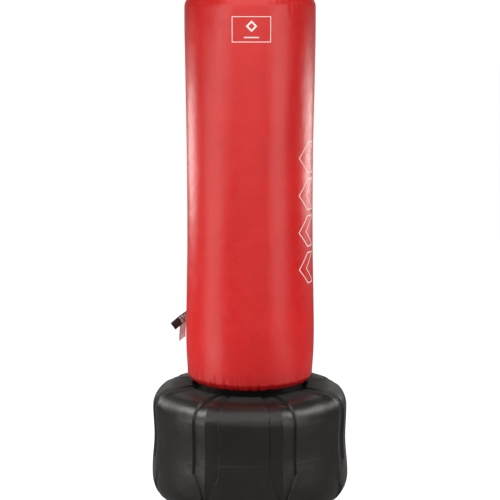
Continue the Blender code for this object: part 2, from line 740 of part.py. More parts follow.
def make_post_bolt():
    """The cross bolt that locks the post on its socket, and its nut."""
    seat = POST_OUTER_RADIUS + GAP
    shank_end = seat + POST_NUT_HEIGHT + POST_BOLT_END
    height = POST_BASE + POST_BOLT_RISE
    outline = [
        (0.0, -seat - POST_BOLT_HEAD_HEIGHT), (POST_BOLT_HEAD_RADIUS, -seat - POST_BOLT_HEAD_HEIGHT),
        (POST_BOLT_HEAD_RADIUS, -seat), (POST_BOLT_RADIUS, -seat),
        (POST_BOLT_RADIUS, shank_end), (0.0, shank_end),
    ]
    across = (0.0, math.radians(90.0), 0.0)
    place(lathe("post_bolt", outline, zinc_steel(), FINE_SEGMENTS), (0.0, 0.0, height), across)
    nut_bore = POST_BOLT_RADIUS + SCREW_CLEARANCE
    nut_end = seat + POST_NUT_HEIGHT
    nut = ring("post_nut", nut_bore, POST_BOLT_HEAD_RADIUS, seat, nut_end, zinc_steel(), FINE_SEGMENTS)
    place(nut, (0.0, 0.0, height), across)


def make_post_cap():
    plug = POST_OUTER_RADIUS - POST_WALL - POST_SOCKET_CLEARANCE
    base = POST_TOP + GAP
    outline = [
        (0.0, base - POST_CAP_PLUG), (plug, base - POST_CAP_PLUG), (plug, base),
        (POST_OUTER_RADIUS, base), (POST_OUTER_RADIUS, base + POST_CAP_FLANGE), (0.0, base + POST_CAP_FLANGE),
    ]
    lathe("post_cap", outline, black_hdpe(), SMALL_SEGMENTS)


# ---------------------------------------------------------------- bag


def bag_outline(inset):
    """The bag's side and both rounded edges, from the flat bottom to the flat top, moved in by inset."""
    low_height, low_radius = BAG_STATIONS[0]
    high_height, high_radius = BAG_STATIONS[-1]
    low_round = BAG_LOWER_CORNER - inset
    high_round = BAG_UPPER_CORNER - inset
    low_centre = (low_radius - BAG_LOWER_CORNER, BAG_BOTTOM + BAG_LOWER_CORNER)
    high_centre = (high_radius - BAG_UPPER_CORNER, high_height)
    points = arc(low_centre, (low_round, low_round), -90.0, 0.0, 4)
    points += [(radius - inset, height) for height, radius in BAG_STATIONS[1:-1]]
    points += arc(high_centre, (high_round, high_round), 0.0, 90.0, 5)
    return points


def bag_radius_at(height):
    """Outer radius of the cover's side at this height."""
    for (low, low_radius), (high, high_radius) in zip(BAG_STATIONS, BAG_STATIONS[1:]):
        if height <= high:
            share = (height - low) / (high - low)
            return low_radius + (high_radius - low_radius) * share
    return BAG_STATIONS[-1][1]


def crown_points(edge_radius, edge_height, crown, steps=4):
    """A shallow dome from its edge to the axis."""
    points = []
    for step in range(steps + 1):
        radius = edge_radius * (1.0 - step / steps)
        points.append((radius, edge_height + crown * (1.0 - (radius / edge_radius) ** 2)))
    return points


def make_cover():
    outside = bag_outline(0.0)
    inside = bag_outline(COVER_THICKNESS)
    outline = [(HEM_RADIUS, BAG_BOTTOM)] + outside + list(reversed(inside))
    outline.append((HEM_RADIUS, BAG_BOTTOM + COVER_THICKNESS))
    lathe("cover_body", outline, red_vinyl())
    upper = crown_points(TOP_PANEL_RADIUS, BAG_TOP_EDGE, BAG_CROWN)
    lower = crown_points(TOP_PANEL_RADIUS, BAG_TOP_EDGE - COVER_THICKNESS, BAG_CROWN)
    outline = [lower[-1]] + list(reversed(lower[:-1])) + upper
    lathe("cover_top", outline, red_vinyl())


def make_hem_cord():
    """The drawcord that gathers the cover's lower hem, one closed ring."""
    middle = (HEM_RADIUS - HEM_CORD_RADIUS - GAP, BAG_BOTTOM + HEM_CORD_RADIUS)
    outline = arc(middle, (HEM_CORD_RADIUS, HEM_CORD_RADIUS), 0.0, 360.0, 8)[:-1]
    lathe("hem_drawcord", outline, black_webbing())


def make_board():
    low = BAG_BOTTOM + COVER_THICKNESS + GAP
    ring("bottom_board", HEM_RADIUS, BOARD_EDGE, low, low + BOARD_THICKNESS, plywood())


def make_foam():
    clearance = COVER_THICKNESS + 2.0 * GAP
    floor = BAG_BOTTOM + COVER_THICKNESS + GAP + BOARD_THICKNESS + GAP
    foot = FOAM_WRAP_INNER_RADIUS + FOAM_WRAP_FOOT
    wrap = [(FOAM_WRAP_INNER_RADIUS, floor), (foot, floor)]
    side = [point for point in bag_outline(clearance) if point[1] > floor and point[0] > foot]
    last_radius, last_height = side[-1]
    wrap += side + [(FOAM_WRAP_INNER_RADIUS, last_height)]
    lathe("foam_wrap", wrap, white_foam())
    core = FOAM_WRAP_INNER_RADIUS - GAP
    bore = POST_OUTER_RADIUS + GAP
    hollow_top = POST_BASE
    outline = [
        (NECK_HOLLOW_RADIUS, floor), (core, floor), (core, FOAM_CORE_TOP), (bore, FOAM_CORE_TOP),
        (bore, hollow_top), (NECK_HOLLOW_RADIUS, hollow_top),
    ]
    foam = lathe("foam_core", outline, grey_foam())
    reach = 2.0 * (POST_OUTER_RADIUS + POST_BOLT_HEAD_HEIGHT + FOAM_BOLT_ROOM)
    pocket_centre = (0.0, 0.0, POST_BASE + POST_BOLT_RISE)
    pocket_size = (reach, FOAM_BOLT_POCKET, FOAM_BOLT_POCKET)
    pocket = box("bolt_pocket", pocket_size, pocket_centre, grey_foam())
    cut_with(foam, pocket)
    pad_base = max(FOAM_CORE_TOP, POST_TOP + POST_CAP_FLANGE + GAP) + GAP
    crown = crown_points(TOP_PANEL_RADIUS, BAG_TOP_EDGE - clearance, BAG_CROWN)
    outline = [(0.0, pad_base), (core, pad_base), (core, last_height)] + crown
    lathe("top_pad", outline, white_foam())


def surface_patch(name, azimuth, width, low, high, gap, thickness, surface, columns=4, rows=2):
    """A sewn-on piece that follows the cover's side, centred on azimuth and width long round it."""
    bm = bmesh.new()
    middle_radius = bag_radius_at((low + high) / 2.0)
    half_angle = math.degrees(width / 2.0 / middle_radius)
    layers = []
    for depth in (gap, gap + thickness):
        grid = []
        for row in range(rows + 1):
            height = low + (high - low) * row / rows
            line = []
            for column in range(columns + 1):
                angle = azimuth + half_angle * (2.0 * column / columns - 1.0)
                line.append(bm.verts.new(at_azimuth(angle, bag_radius_at(height) + depth, height)))
            grid.append(line)
        layers.append(grid)
    return close_layers(bm, layers, name, surface)


def close_layers(bm, layers, name, surface):
    """Joins two grids of the same size, an inner and an outer one, into one closed sheet."""
    inner, outer = layers
    rows = len(inner) - 1
    columns = len(inner[0]) - 1
    for grid in layers:
        for row in range(rows):
            for column in range(columns):
                bm.faces.new((
                    grid[row][column], grid[row][column + 1],
                    grid[row + 1][column + 1], grid[row + 1][column],
                ))
    for column in range(columns):
        for row in (0, rows):
            bm.faces.new((
                inner[row][column], inner[row][column + 1], outer[row][column + 1], outer[row][column],
            ))
    for row in range(rows):
        for column in (0, columns):
            bm.faces.new((
                inner[row][column], inner[row + 1][column], outer[row + 1][column], outer[row][column],
            ))
    return finish_mesh(bm, name, surface)


def zip_clearance():
    """Sewn-on pieces keep a little more air than GAP, since their facets bridge the cover's."""
    return 2.0 * GAP


def make_zip():
    surface_patch(
        "zip_tape", ZIP_AZIMUTH, ZIP_WIDTH, ZIP_BOTTOM, ZIP_TOP, zip_clearance(),
        ZIP_THICKNESS, black_webbing(), 4, 24,
    )
    inner = BAG_RADIUS + zip_clearance() + ZIP_THICKNESS + GAP
    slider_middle = at_azimuth(ZIP_AZIMUTH, inner + SLIDER_THICKNESS / 2.0, SLIDER_Z)
    size = (SLIDER_WIDTH, SLIDER_THICKNESS, SLIDER_HEIGHT)
    box("zip_slider", size, slider_middle, zinc_steel(), SLIDER_BEVEL)
    pull_inner = inner + SLIDER_THICKNESS + GAP
    pin_z = SLIDER_Z + SLIDER_HEIGHT / 4.0
    hinge = at_azimuth(ZIP_AZIMUTH, pull_inner + PULL_THICKNESS / 2.0, pin_z)
    pull = box(
        "zip_pull", (PULL_WIDTH, PULL_THICKNESS, PULL_LENGTH),
        (0.0, 0.0, -PULL_LENGTH / 2.0 + PULL_THICKNESS / 2.0), zinc_steel(), PULL_BEVEL,
    )
    pull.data.transform(Matrix.Translation(pull.location))
    place(pull, hinge)


def strap_frame():
    """(root, along, outward) of the free strap, which leaves the cover along its tangent."""
    angle = math.radians(STRAP_AZIMUTH)
    along = Vector((math.cos(angle), math.sin(angle), 0.0))
    outward = Vector((math.sin(angle), -math.cos(angle), 0.0))
    root = at_azimuth(STRAP_AZIMUTH, bag_radius_at(STRAP_Z) + zip_clearance(), STRAP_Z)
    return root, along, outward


def strap_point(share, depth, across):
    """A point of the strap: share of its length, depth out from its inner face, across its width."""
    root, along, outward = strap_frame()
    drop = STRAP_DROP * share ** 2
    slope = math.atan2(2.0 * STRAP_DROP * share, STRAP_LENGTH)
    upward = Vector((0, 0, 1)) * math.cos(slope) + along * math.sin(slope)
    middle = root + along * (STRAP_LENGTH * share) - Vector((0, 0, drop))
    return middle + outward * depth + upward * across


def strap_sheet(name, start, end, inner, thickness, half_width, surface, columns):
    """A flat piece of the strap between two shares of its length."""
    bm = bmesh.new()
    layers = []
    for depth in (inner, inner + thickness):
        grid = []
        for across in (-half_width, 0.0, half_width):
            line = []
            for column in range(columns + 1):
                share = start + (end - start) * column / columns
                line.append(bm.verts.new(strap_point(share, depth, across)))
            grid.append(line)
        layers.append(grid)
    sheet = close_layers(bm, layers, name, surface)
    root, _, _ = strap_frame()
    sheet.data.transform(Matrix.Translation(-root))
    return place(sheet, root)


def make_strap():
    """The closure strap: an anchor sewn to the cover, a free end with its pile patch, and a label."""
    half = STRAP_WIDTH / 2.0
    anchor_middle = STRAP_AZIMUTH - math.degrees(
        (STRAP_ANCHOR_LENGTH / 2.0 + 2.0 * STRAP_THICKNESS) / bag_radius_at(STRAP_Z)
    )
    surface_patch(
        "strap_anchor", anchor_middle, STRAP_ANCHOR_LENGTH, STRAP_Z - half, STRAP_Z + half,
        zip_clearance(), STRAP_THICKNESS, black_webbing(),
    )
    strap_sheet("closure_strap", 0.0, 1.0, 0.0, STRAP_THICKNESS, half, black_webbing(), 10)
    pile_inner = -GAP - PILE_THICKNESS
    pile_half = half - PILE_MARGIN
    strap_sheet(
        "strap_pile_patch", PILE_START, PILE_END, pile_inner, PILE_THICKNESS, pile_half, grey_pile(), 5,
    )
    hook_middle = STRAP_AZIMUTH + math.degrees(
        (HOOK_PATCH_OFFSET + HOOK_PATCH_LENGTH / 2.0) / bag_radius_at(STRAP_Z)
    )
    hook_z = STRAP_Z - STRAP_DROP * 0.25
    surface_patch(
        "strap_hook_patch", hook_middle, HOOK_PATCH_LENGTH, hook_z - half, hook_z + half,
        zip_clearance(), PILE_THICKNESS, black_webbing(), 6,
    )
    make_label(half)


def make_label(half):
    """A blank care label, sewn to the strap's lower edge near its free end and hanging below it."""
    root, _, _ = strap_frame()
    end = 1.0 - LABEL_INSET / STRAP_LENGTH
    start = end - LABEL_WIDTH / STRAP_LENGTH
    middle_depth = STRAP_THICKNESS / 2.0
    bm = bmesh.new()
    layers = []
    for depth in (middle_depth - LABEL_THICKNESS / 2.0, middle_depth + LABEL_THICKNESS / 2.0):
        grid = []
        for fall in (0.0, LABEL_LENGTH / 2.0, LABEL_LENGTH):
            line = []
            for share in (start, (start + end) / 2.0, end):
                edge = strap_point(share, depth, -half - 2.0 * GAP)
                line.append(bm.verts.new(edge - Vector((0, 0, fall))))
            grid.append(line)
        layers.append(grid)
    label = close_layers(bm, layers, "care_label", white_satin())
    label.data.transform(Matrix.Translation(-root))
    place(label, root)


def main():
    clear_scene()
    make_tank()
    make_ballast()
    make_filler_cap()
    make_hub()
    make_hub_screws()
    make_springs()
    make_buffers()
    make_mid_plate()
    make_post_plate()
    make_post()
    make_post_bolt()
    make_post_cap()
    make_board()
    make_foam()
    make_cover()
    make_hem_cord()
    make_zip()
    make_strap()


main()
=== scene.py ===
"""Looks of a free-standing punching bag: moulded base, sprung neck, padded bag in a red vinyl cover."""

import math

import bmesh
import bpy
import numpy as np
from mathutils import Matrix, Vector


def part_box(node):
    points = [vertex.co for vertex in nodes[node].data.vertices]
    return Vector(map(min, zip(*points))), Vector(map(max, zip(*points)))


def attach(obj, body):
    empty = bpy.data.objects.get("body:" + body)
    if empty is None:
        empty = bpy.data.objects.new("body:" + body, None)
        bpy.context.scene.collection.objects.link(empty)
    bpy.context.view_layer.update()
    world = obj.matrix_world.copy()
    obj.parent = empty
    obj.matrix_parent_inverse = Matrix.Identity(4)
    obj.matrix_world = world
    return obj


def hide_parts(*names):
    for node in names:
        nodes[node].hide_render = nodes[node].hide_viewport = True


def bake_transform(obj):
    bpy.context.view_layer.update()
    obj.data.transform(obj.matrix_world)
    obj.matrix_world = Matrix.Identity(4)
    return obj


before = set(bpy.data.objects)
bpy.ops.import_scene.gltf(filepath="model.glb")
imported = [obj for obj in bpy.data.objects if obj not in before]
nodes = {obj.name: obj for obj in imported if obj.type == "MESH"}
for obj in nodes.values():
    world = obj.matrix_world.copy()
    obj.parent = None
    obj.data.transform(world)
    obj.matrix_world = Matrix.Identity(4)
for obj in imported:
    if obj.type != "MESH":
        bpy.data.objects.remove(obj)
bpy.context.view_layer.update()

# ---------------------------------------------------------------- camera
# A long lens at chest height, a little under four metres away, tilted down. The bag's top and the
# base's foot lie outside the frame.

camera_distance = 3.89
camera_height = 1.30
camera_pitch = 8.78
focal_length = 101.5

camera = bpy.data.objects.new("camera", bpy.data.cameras.new("camera"))
bpy.context.scene.collection.objects.link(camera)
camera.location = (0.0, -camera_distance, camera_height)
camera.rotation_euler = (math.radians(90.0 - camera_pitch), 0.0, 0.0)
camera.data.lens = focal_length
camera.data.sensor_width = 36.0
bpy.context.scene.camera = camera
bpy.context.scene.view_settings.view_transform = "Standard"

# ---------------------------------------------------------------- base tank
# One blow-moulded shell of black high-density polyethylene. Eight raised panels run up the wall and
# over the shoulder, with folded grooves between them, and the mould's halves leave a parting line.

tank_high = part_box("base_tank")[1]
tank_widest = tank_high.x - 0.0002
tank_foot_radius = tank_widest - 0.050
tank_waist_radius = tank_widest - 0.007
tank_top_radius = tank_widest - 0.0045
tank_belly_height = 0.064
tank_waist_height = 0.179
tank_shoulder = 0.054
tank_boss_height = tank_high.z
tank_rim_height = tank_boss_height - 0.0076
tank_top_slope = 0.10
panel_count = 8
panel_turn = -3.7
panel_half_angle = 14.2
panel_step = 0.0065
panel_flare = 5.6
panel_flare_height = 0.122
panel_flare_run = 0.064
panel_edge_angle = 0.95
panel_flatness = 0.3
groove_crown = 0.80
well_radius = 0.166
well_floor = 0.302
boss_radius = 0.101
parting_height = 0.154
parting_wave = 0.006
parting_depth = 0.0005
second_line_drop = 0.0135


def linear(code):
    """An sRGB hex colour as linear RGBA."""
    channels = [int(code[start:start + 2], 16) / 255.0 for start in (1, 3, 5)]
    return [c / 12.92 if c <= 0.04045 else ((c + 0.055) / 1.055) ** 2.4 for c in channels] + [1.0]


def new_material(name, colour, roughness, **values):
    """A material with its uniform values set on the shader's own sockets."""
    made = bpy.data.materials.new(name)
    made.use_nodes = True
    shader = made.node_tree.nodes["Principled BSDF"]
    shader.inputs["Base Color"].default_value = linear(colour)
    shader.inputs["Roughness"].default_value = roughness
    for socket, value in values.items():
        shader.inputs[socket.replace("_", " ")].default_value = value
    return made


def add(tree, kind, sockets=None, stops=(), **settings):
    """Adds a node with its settings and links. sockets maps an input's name or number to a value, to
    another node's output, or to a node for its first output. stops are a colour ramp's (position, hex
    colour) pairs."""
    node = tree.nodes.new(kind)
    for name, value in settings.items():
        setattr(node, name, value)
    for name, value in (sockets or {}).items():
        if isinstance(value, bpy.types.Node):
            value = value.outputs[0]
        if isinstance(value, bpy.types.NodeSocket):
            tree.links.new(value, node.inputs[name])
        else:
            node.inputs[name].default_value = value
    for place, (position, code) in enumerate(stops):
        elements = node.color_ramp.elements
        element = elements[place] if place < len(elements) else elements.new(position)
        element.position = position
        element.color = linear(code)
    return node


def link(made, **nodes_in):
    """Links each node's first output into the socket of that name on the material's shader."""
    for socket, node in nodes_in.items():
        wanted = made.node_tree.nodes["Principled BSDF"].inputs[socket.replace("_", " ")]
        made.node_tree.links.new(node.outputs[0], wanted)


def blow_moulded_hdpe():
    """Satin black polyethylene: it mirrors the lights softly, with orange peel and faint scuffs. It is
    duller towards the well, where the bag rubs."""
    made = new_material("blow_moulded_hdpe", "#171615", 0.30, IOR=1.50)
    tree = made.node_tree
    place = add(tree, "ShaderNodeTexCoord").outputs["Object"]
    cloud = add(tree, "ShaderNodeTexNoise", {"Vector": place, "Scale": 1.0 / 0.09, "Detail": 3.0})
    shade = add(tree, "ShaderNodeValToRGB", {"Fac": cloud}, [(0.3, "#0B0A0A"), (0.75, "#151413")])
    stretched = add(tree, "ShaderNodeMapping", {"Vector": place, "Scale": (1.0, 1.0, 6.0)})
    scuffs = add(tree, "ShaderNodeTexNoise", {
        "Vector": stretched, "Scale": 1.0 / 0.006, "Detail": 6.0, "Roughness": 0.75,
    })
    worn = add(tree, "ShaderNodeMapRange", {"Value": scuffs, 1: 0.35, 2: 0.8, 3: 0.29, 4: 0.50})
    level = add(tree, "ShaderNodeVectorMath", {0: place, 1: (1.0, 1.0, 0.0)}, operation="MULTIPLY")
    distance = add(tree, "ShaderNodeVectorMath", {0: level}, operation="LENGTH").outputs["Value"]
    in_well = add(tree, "ShaderNodeMapRange", {"Value": distance, 1: 0.165, 2: 0.235, 3: 1.0, 4: 0.3})
    rough = add(tree, "ShaderNodeMath", {0: worn, 1: in_well}, operation="MAXIMUM")
    nicks = add(tree, "ShaderNodeTexVoronoi", {"Vector": stretched, "Scale": 1.0 / 0.034}).outputs["Distance"]
    chips = add(tree, "ShaderNodeMapRange", {"Value": nicks, 1: 0.0, 2: 0.06, 3: 1.0, 4: 0.0})
    grain = add(tree, "ShaderNodeMath", {0: scuffs, 1: chips}, operation="MULTIPLY")
    peel = add(tree, "ShaderNodeTexNoise", {"Vector": place, "Scale": 1.0 / 0.0030, "Detail": 3.0})
    peeled = add(tree, "ShaderNodeBump", {"Height": peel, "Distance": 0.00010})
    pitted = add(tree, "ShaderNodeBump", {"Height": grain, "Distance": -0.0012, "Normal": peeled})
    ripple = add(tree, "ShaderNodeTexNoise", {"Vector": place, "Scale": 1.0 / 0.040})
    skin = add(tree, "ShaderNodeBump", {"Height": ripple, "Distance": 0.0016, "Normal": pitted})
    link(made, Base_Color=shade, Roughness=rough, Normal=skin)
    return made


def smooth_step(x):
    x = np.clip(x, 0.0, 1.0)
    return x * x * (3.0 - 2.0 * x)


def arc(centre, radii, start, end, steps):
    """Points on an ellipse's arc in the (radius, height) plane, angles in degrees."""
    angles = np.radians(np.linspace(start, end, steps + 1))
    return np.column_stack((centre[0] + radii[0] * np.cos(angles), centre[1] + radii[1] * np.sin(angles)))


def eased(start, end, steps):
    """Points from start to end that leave and arrive vertically, without the first one."""
    share = np.arange(1, steps + 1) / steps
    blend = 0.5 - 0.5 * np.cos(np.pi * share)
    return np.column_stack((start[0] + (end[0] - start[0]) * blend, start[1] + (end[1] - start[1]) * share))


def outline_normals(points):
    """Outward unit normals of an outline that runs up the outside."""
    along = np.gradient(points, axis=0)
    along /= np.linalg.norm(along, axis=1)[:, None]
    return np.column_stack((along[:, 1], -along[:, 0]))


def put_on_azimuth(azimuth, radius, height):
    """Points in space. The azimuth is in degrees round +Z from the front, 90 on the right."""
    azimuth, radius, height = np.broadcast_arrays(azimuth, radius, height)
    turned = np.radians(azimuth)
    return np.stack((radius * np.sin(turned), -radius * np.cos(turned), height), axis=-1)


def ring_mesh(name, rings, caps=True, loop=False):
    """A mesh from rings of points (rows, columns, 3) that close round the axis.
    caps closes both ends with a fan; loop joins the last ring to the first instead."""
    rows, columns = rings.shape[:2]
    points = rings.reshape(-1, 3)
    row, column = np.meshgrid(np.arange(rows if loop else rows - 1), np.arange(columns), indexing="ij")
    above = (row + 1) % rows
    beside = (column + 1) % columns
    faces = np.stack(
        (row * columns + column, row * columns + beside, above * columns + beside, above * columns + column),
        axis=-1,
    ).reshape(-1, 4).tolist()
    if caps and not loop:
        ends = np.array([rings[0].mean(0), rings[-1].mean(0)])
        first, last = len(points), len(points) + 1
        points = np.vstack((points, ends))
        top = (rows - 1) * columns
        faces += [(first, (i + 1) % columns, i) for i in range(columns)]
        faces += [(last, top + i, top + (i + 1) % columns) for i in range(columns)]
    mesh = bpy.data.meshes.new(name)
    mesh.from_pydata(points.tolist(), [], faces)
    mesh.validate()
    return mesh


def new_piece(name, mesh, surface, sharp=35.0):
    """An object at the origin with this mesh and material, smooth except at sharp edges."""
    mesh.name = name
    mesh.materials.clear()
    mesh.materials.append(surface)
    mesh.shade_smooth()
    mesh.set_sharp_from_angle(angle=math.radians(sharp))
    piece = bpy.data.objects.new(name, mesh)
    bpy.context.scene.collection.objects.link(piece)
    return piece


def panel_offset(azimuth):
    """Degrees from the middle of the nearest panel."""
    pitch = 360.0 / panel_count
    return np.abs((azimuth - panel_turn + pitch / 2.0) % pitch - pitch / 2.0)


def panel_proud(azimuth):
    """1 on a panel, 0 at a groove's sides, and part way up again at the fold in its middle."""
    past = panel_offset(azimuth) - panel_half_angle
    half_groove = 180.0 / panel_count - panel_half_angle - panel_edge_angle
    fold = groove_crown * np.clip((past - panel_edge_angle) / half_groove, 0.0, 1.0)
    return np.maximum(1.0 - smooth_step(past / panel_edge_angle), fold)


def spread_out(azimuth, height):
    """The azimuths of the columns at a height: the panels spread at the foot, so grooves narrow."""
    pitch = 360.0 / panel_count
    side = np.sign((azimuth - panel_turn + pitch / 2.0) % pitch - pitch / 2.0)
    stops = (0.0, panel_half_angle, panel_half_angle + panel_edge_angle, pitch / 2.0)
    weight = np.interp(panel_offset(azimuth), stops, (0.0, 1.0, 1.0, 0.0))
    step = np.clip((panel_flare_height - height) / panel_flare_run, 0.0, 1.0)
    return azimuth + panel_flare * side * weight * (0.7 * step + 0.3 * smooth_step(step))


def panel_swell(azimuth):
    """A panel is flatter than round, so its edges stand further out than its middle."""
    limited = np.minimum(panel_offset(azimuth), panel_half_angle)
    return 1.0 + panel_flatness * (1.0 / np.cos(np.radians(limited)) - 1.0)


def tank_azimuths():
    """Columns round the tank, close together where a panel's edge turns into a groove."""
    steps = np.array([-0.35, -0.12, 0.0, 0.12, 0.3, 0.5, 0.7, 0.88, 1.0, 1.2])
    edge = panel_half_angle + panel_edge_angle * steps
    fold = 180.0 / panel_count
    half = np.concatenate((np.linspace(1.7, 12.6, 6), edge, np.linspace(16.4, fold - 0.9, 4), [fold - 0.3]))
    sector = np.concatenate((-half[::-1], [0.0], half, [fold]))
    pitch = 360.0 / panel_count
    return np.concatenate([panel_turn + pitch * index + sector for index in range(panel_count)])


def tank_outline():
    """The panels' outline from the foot to the lip of the well under the bag."""
    foot_radii = (tank_widest - tank_foot_radius, tank_belly_height)
    foot = arc((tank_foot_radius, tank_belly_height), foot_radii, -90, 0, 16)
    belly = (tank_widest, tank_belly_height)
    waist = (tank_waist_radius, tank_waist_height)
    shoulder_low = (tank_top_radius, tank_rim_height - tank_shoulder)
    turn = 90.0 - math.degrees(math.atan(tank_top_slope))
    shoulder_centre = (tank_top_radius - tank_shoulder, shoulder_low[1])
    shoulder = arc(shoulder_centre, (tank_shoulder, tank_shoulder), 0, turn, 22)[1:]
    end = shoulder[-1]
    lip = (well_radius, end[1] + (end[0] - well_radius) * tank_top_slope)
    top = np.linspace(end, lip, 9)[1:]
    return np.vstack((foot, eased(belly, waist, 34), eased(waist, shoulder_low, 18), shoulder, top))


def lumps(azimuth, height, seed, waves):
    """Soft lumps round a turned skin: waves is a list of (times round, length upwards, size)."""
    state = np.random.RandomState(seed)
    total = 0.0
    for times, length, size in waves:
        for _ in range(3):
            turns = times + state.randint(-1, 2)
            lean = state.uniform(-1.0, 1.0) * 2.0 * np.pi / length
            phase = state.uniform(0.0, 2.0 * np.pi)
            total = total + size / 3.0 * np.sin(turns * np.radians(azimuth) + lean * height + phase)
    return total


def parting_line(azimuth):
    """How far the parting line lies above or below its mean height."""
    turned = np.radians(azimuth)
    return parting_wave * (0.75 * np.sin(turned + 0.9) + 0.25 * np.sin(3.0 * turned + 0.4))


def tank_rings():
    """Every ring of the tank: foot, panelled wall and top, the well's side, its floor and the boss."""
    azimuths = tank_azimuths()
    outline = tank_outline()
    wall_start, wall_end = 16, 70
    across_line = np.array([-2.4, -1.2, -0.5, 0.0, 0.5, 1.2, 2.4]) * 0.001
    extra = np.concatenate((parting_height + across_line, parting_height - second_line_drop + across_line))
    wall = outline[wall_start:wall_end]
    extra_points = np.column_stack((np.interp(extra, wall[:, 1], wall[:, 0]), extra))
    split = np.searchsorted(outline[:wall_end, 1], extra)
    order = np.argsort(extra)
    outline = np.insert(outline, split[order], extra_points[order], axis=0)
    wall_end += len(extra)
    outline[:wall_end] = outline[np.argsort(outline[:wall_end, 1], kind="stable")]
    normals = outline_normals(outline)
    height = outline[:, 1:]
    fade = np.clip(height / tank_belly_height, 0.0, 1.0) ** 0.5
    sunk = panel_step * (1.0 - panel_proud(azimuths)) * fade
    upper_line = np.exp(-(((height - parting_height) / 0.0007) ** 2))
    lower_line = 0.5 * np.exp(-(((height - parting_height + second_line_drop) / 0.0009) ** 2))
    uneven = np.clip(0.55 + lumps(azimuths, 0.0, 17, [(9, 1.0, 0.9), (23, 1.0, 0.6)]), 0.1, 1.2)
    out = parting_depth * (0.5 * lower_line - upper_line) * uneven - sunk
    shrink = 0.0005 * np.sin(np.radians(azimuths * 5.0)) * np.sin(height * 38.0)
    radius = outline[:, :1] * panel_swell(azimuths) + normals[:, :1] * out + shrink
    radius = np.minimum(radius, tank_high.x * 1.002)
    near_line = np.exp(-(((height - parting_height) / 0.045) ** 2))
    lifted = height + normals[:, 1:] * out + near_line * parting_line(azimuths)
    panelled = put_on_azimuth(spread_out(azimuths, height), radius, np.maximum(lifted, 0.0))
    lip = lifted[-1]
    drops = np.array((0.03, 0.15, 0.45, 0.8, 0.96, 1.0))[:, None]
    runs = np.array((0.0020, 0.0040, 0.0065, 0.0095, 0.0130, 0.0180))[:, None]
    side = put_on_azimuth(azimuths, outline[-1, 0] - runs, lip + (well_floor - lip) * drops)
    well = np.vstack((
        [(boss_radius + 0.010, well_floor)],
        arc((boss_radius + 0.010, well_floor + 0.008), (0.009, 0.008), -90, -180, 5),
        arc((boss_radius - 0.003, tank_boss_height - 0.003), (0.003, 0.003), 0, 90, 4),
        [(0.060, tank_boss_height)],
    ))
    return np.concatenate((panelled, side, put_on_azimuth(azimuths, well[:, :1], well[:, 1:])))


def cut_with(piece, cutter, operation="DIFFERENCE", sharp=None):
    """Applies one exact Boolean to the piece's mesh and removes the helper. sharp, in degrees, sets the
    sharp edges again."""
    modifier = piece.modifiers.new("cut", "BOOLEAN")
    modifier.operation = operation
    modifier.solver = "EXACT"
    modifier.object = cutter
    graph = bpy.context.evaluated_depsgraph_get()
    result = bpy.data.meshes.new_from_object(piece.evaluated_get(graph))
    piece.modifiers.clear()
    surface = piece.data.materials[0]
    piece.data = result
    result.materials.clear()
    result.materials.append(surface)
    for polygon in result.polygons:
        polygon.material_index = 0
    if sharp is not None:
        result.shade_smooth()
        result.set_sharp_from_angle(angle=math.radians(sharp))
    bpy.data.objects.remove(cutter, do_unlink=True)


def turned_rings(outline, centre=(0.0, 0.0), segments=64):
    """Rings round an upright axis for an outline of (radius, height) points that runs up the outside."""
    points = np.array(outline, float)
    around = np.arange(segments) * 360.0 / segments
    return put_on_azimuth(around, points[:, :1], points[:, 1:]) + np.array((*centre, 0.0))


hdpe = blow_moulded_hdpe()
tank = new_piece("tank_shell", ring_mesh("tank_shell", tank_rings()), hdpe, 24.0)

# The filler's collar stands up out of the rear panel, with a pocket for the cap's head.
cap_low, cap_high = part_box("fill_cap")
port = ((cap_low.x + cap_high.x) / 2.0, (cap_low.y + cap_high.y) / 2.0)
gasket_low, gasket_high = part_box("fill_cap_gasket")
port_seat = gasket_low.z - 0.0003
pocket_radius = 0.027
collar_radius = 0.031
collar_top = tank_rim_height + 0.003
collar_outline = np.vstack((
    [(0.002, port_seat - 0.008), (collar_radius, port_seat - 0.008), (collar_radius, collar_top - 0.0015)],
    arc((collar_radius - 0.0015, collar_top - 0.0015), (0.0015, 0.0015), 20, 90, 4), [(0.002, collar_top)],
))
pocket_outline = [(0.002, port_seat), (pocket_radius, port_seat), (pocket_radius + 0.0008, collar_top + 0.02),
                  (0.002, collar_top + 0.02)]
for name, outline, operation in (
    ("collar", collar_outline, "UNION"), ("pocket", pocket_outline, "DIFFERENCE"),
):
    helper = new_piece(name, ring_mesh(name, turned_rings(outline, port)), hdpe)
    cut_with(tank, helper, operation, sharp=24.0)
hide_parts("base_tank")
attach(tank, "base")

# ---------------------------------------------------------------- ballast and filler cap
# Tap water fills the tank to a little below the filler. The filler's cap is a turned-looking
# polyethylene moulding with a grip of fine ribs, and it pinches a black rubber ring.

cap_segments = 240
cap_rib_count = 40
cap_rib_depth = 0.0007
cap_bevel = 0.0016
cap_pocket_radius = 0.0085
cap_pocket_offset = 0.0125


def tap_water():
    """Still water: clear, with a faint swell on its surface."""
    made = new_material("tap_water", "#BFD6DA", 0.03, IOR=1.333, Transmission_Weight=1.0)
    tree = made.node_tree
    place = add(tree, "ShaderNodeTexCoord").outputs["Object"]
    cloud = add(tree, "ShaderNodeTexNoise", {"Vector": place, "Scale": 1.0 / 0.12})
    shade = add(tree, "ShaderNodeValToRGB", {"Fac": cloud}, [(0.3, "#BAD2D8"), (0.7, "#CFE2E4")])
    link(made, Base_Color=shade, Normal=add(tree, "ShaderNodeBump", {"Height": cloud, "Distance": 0.002}))
    return made


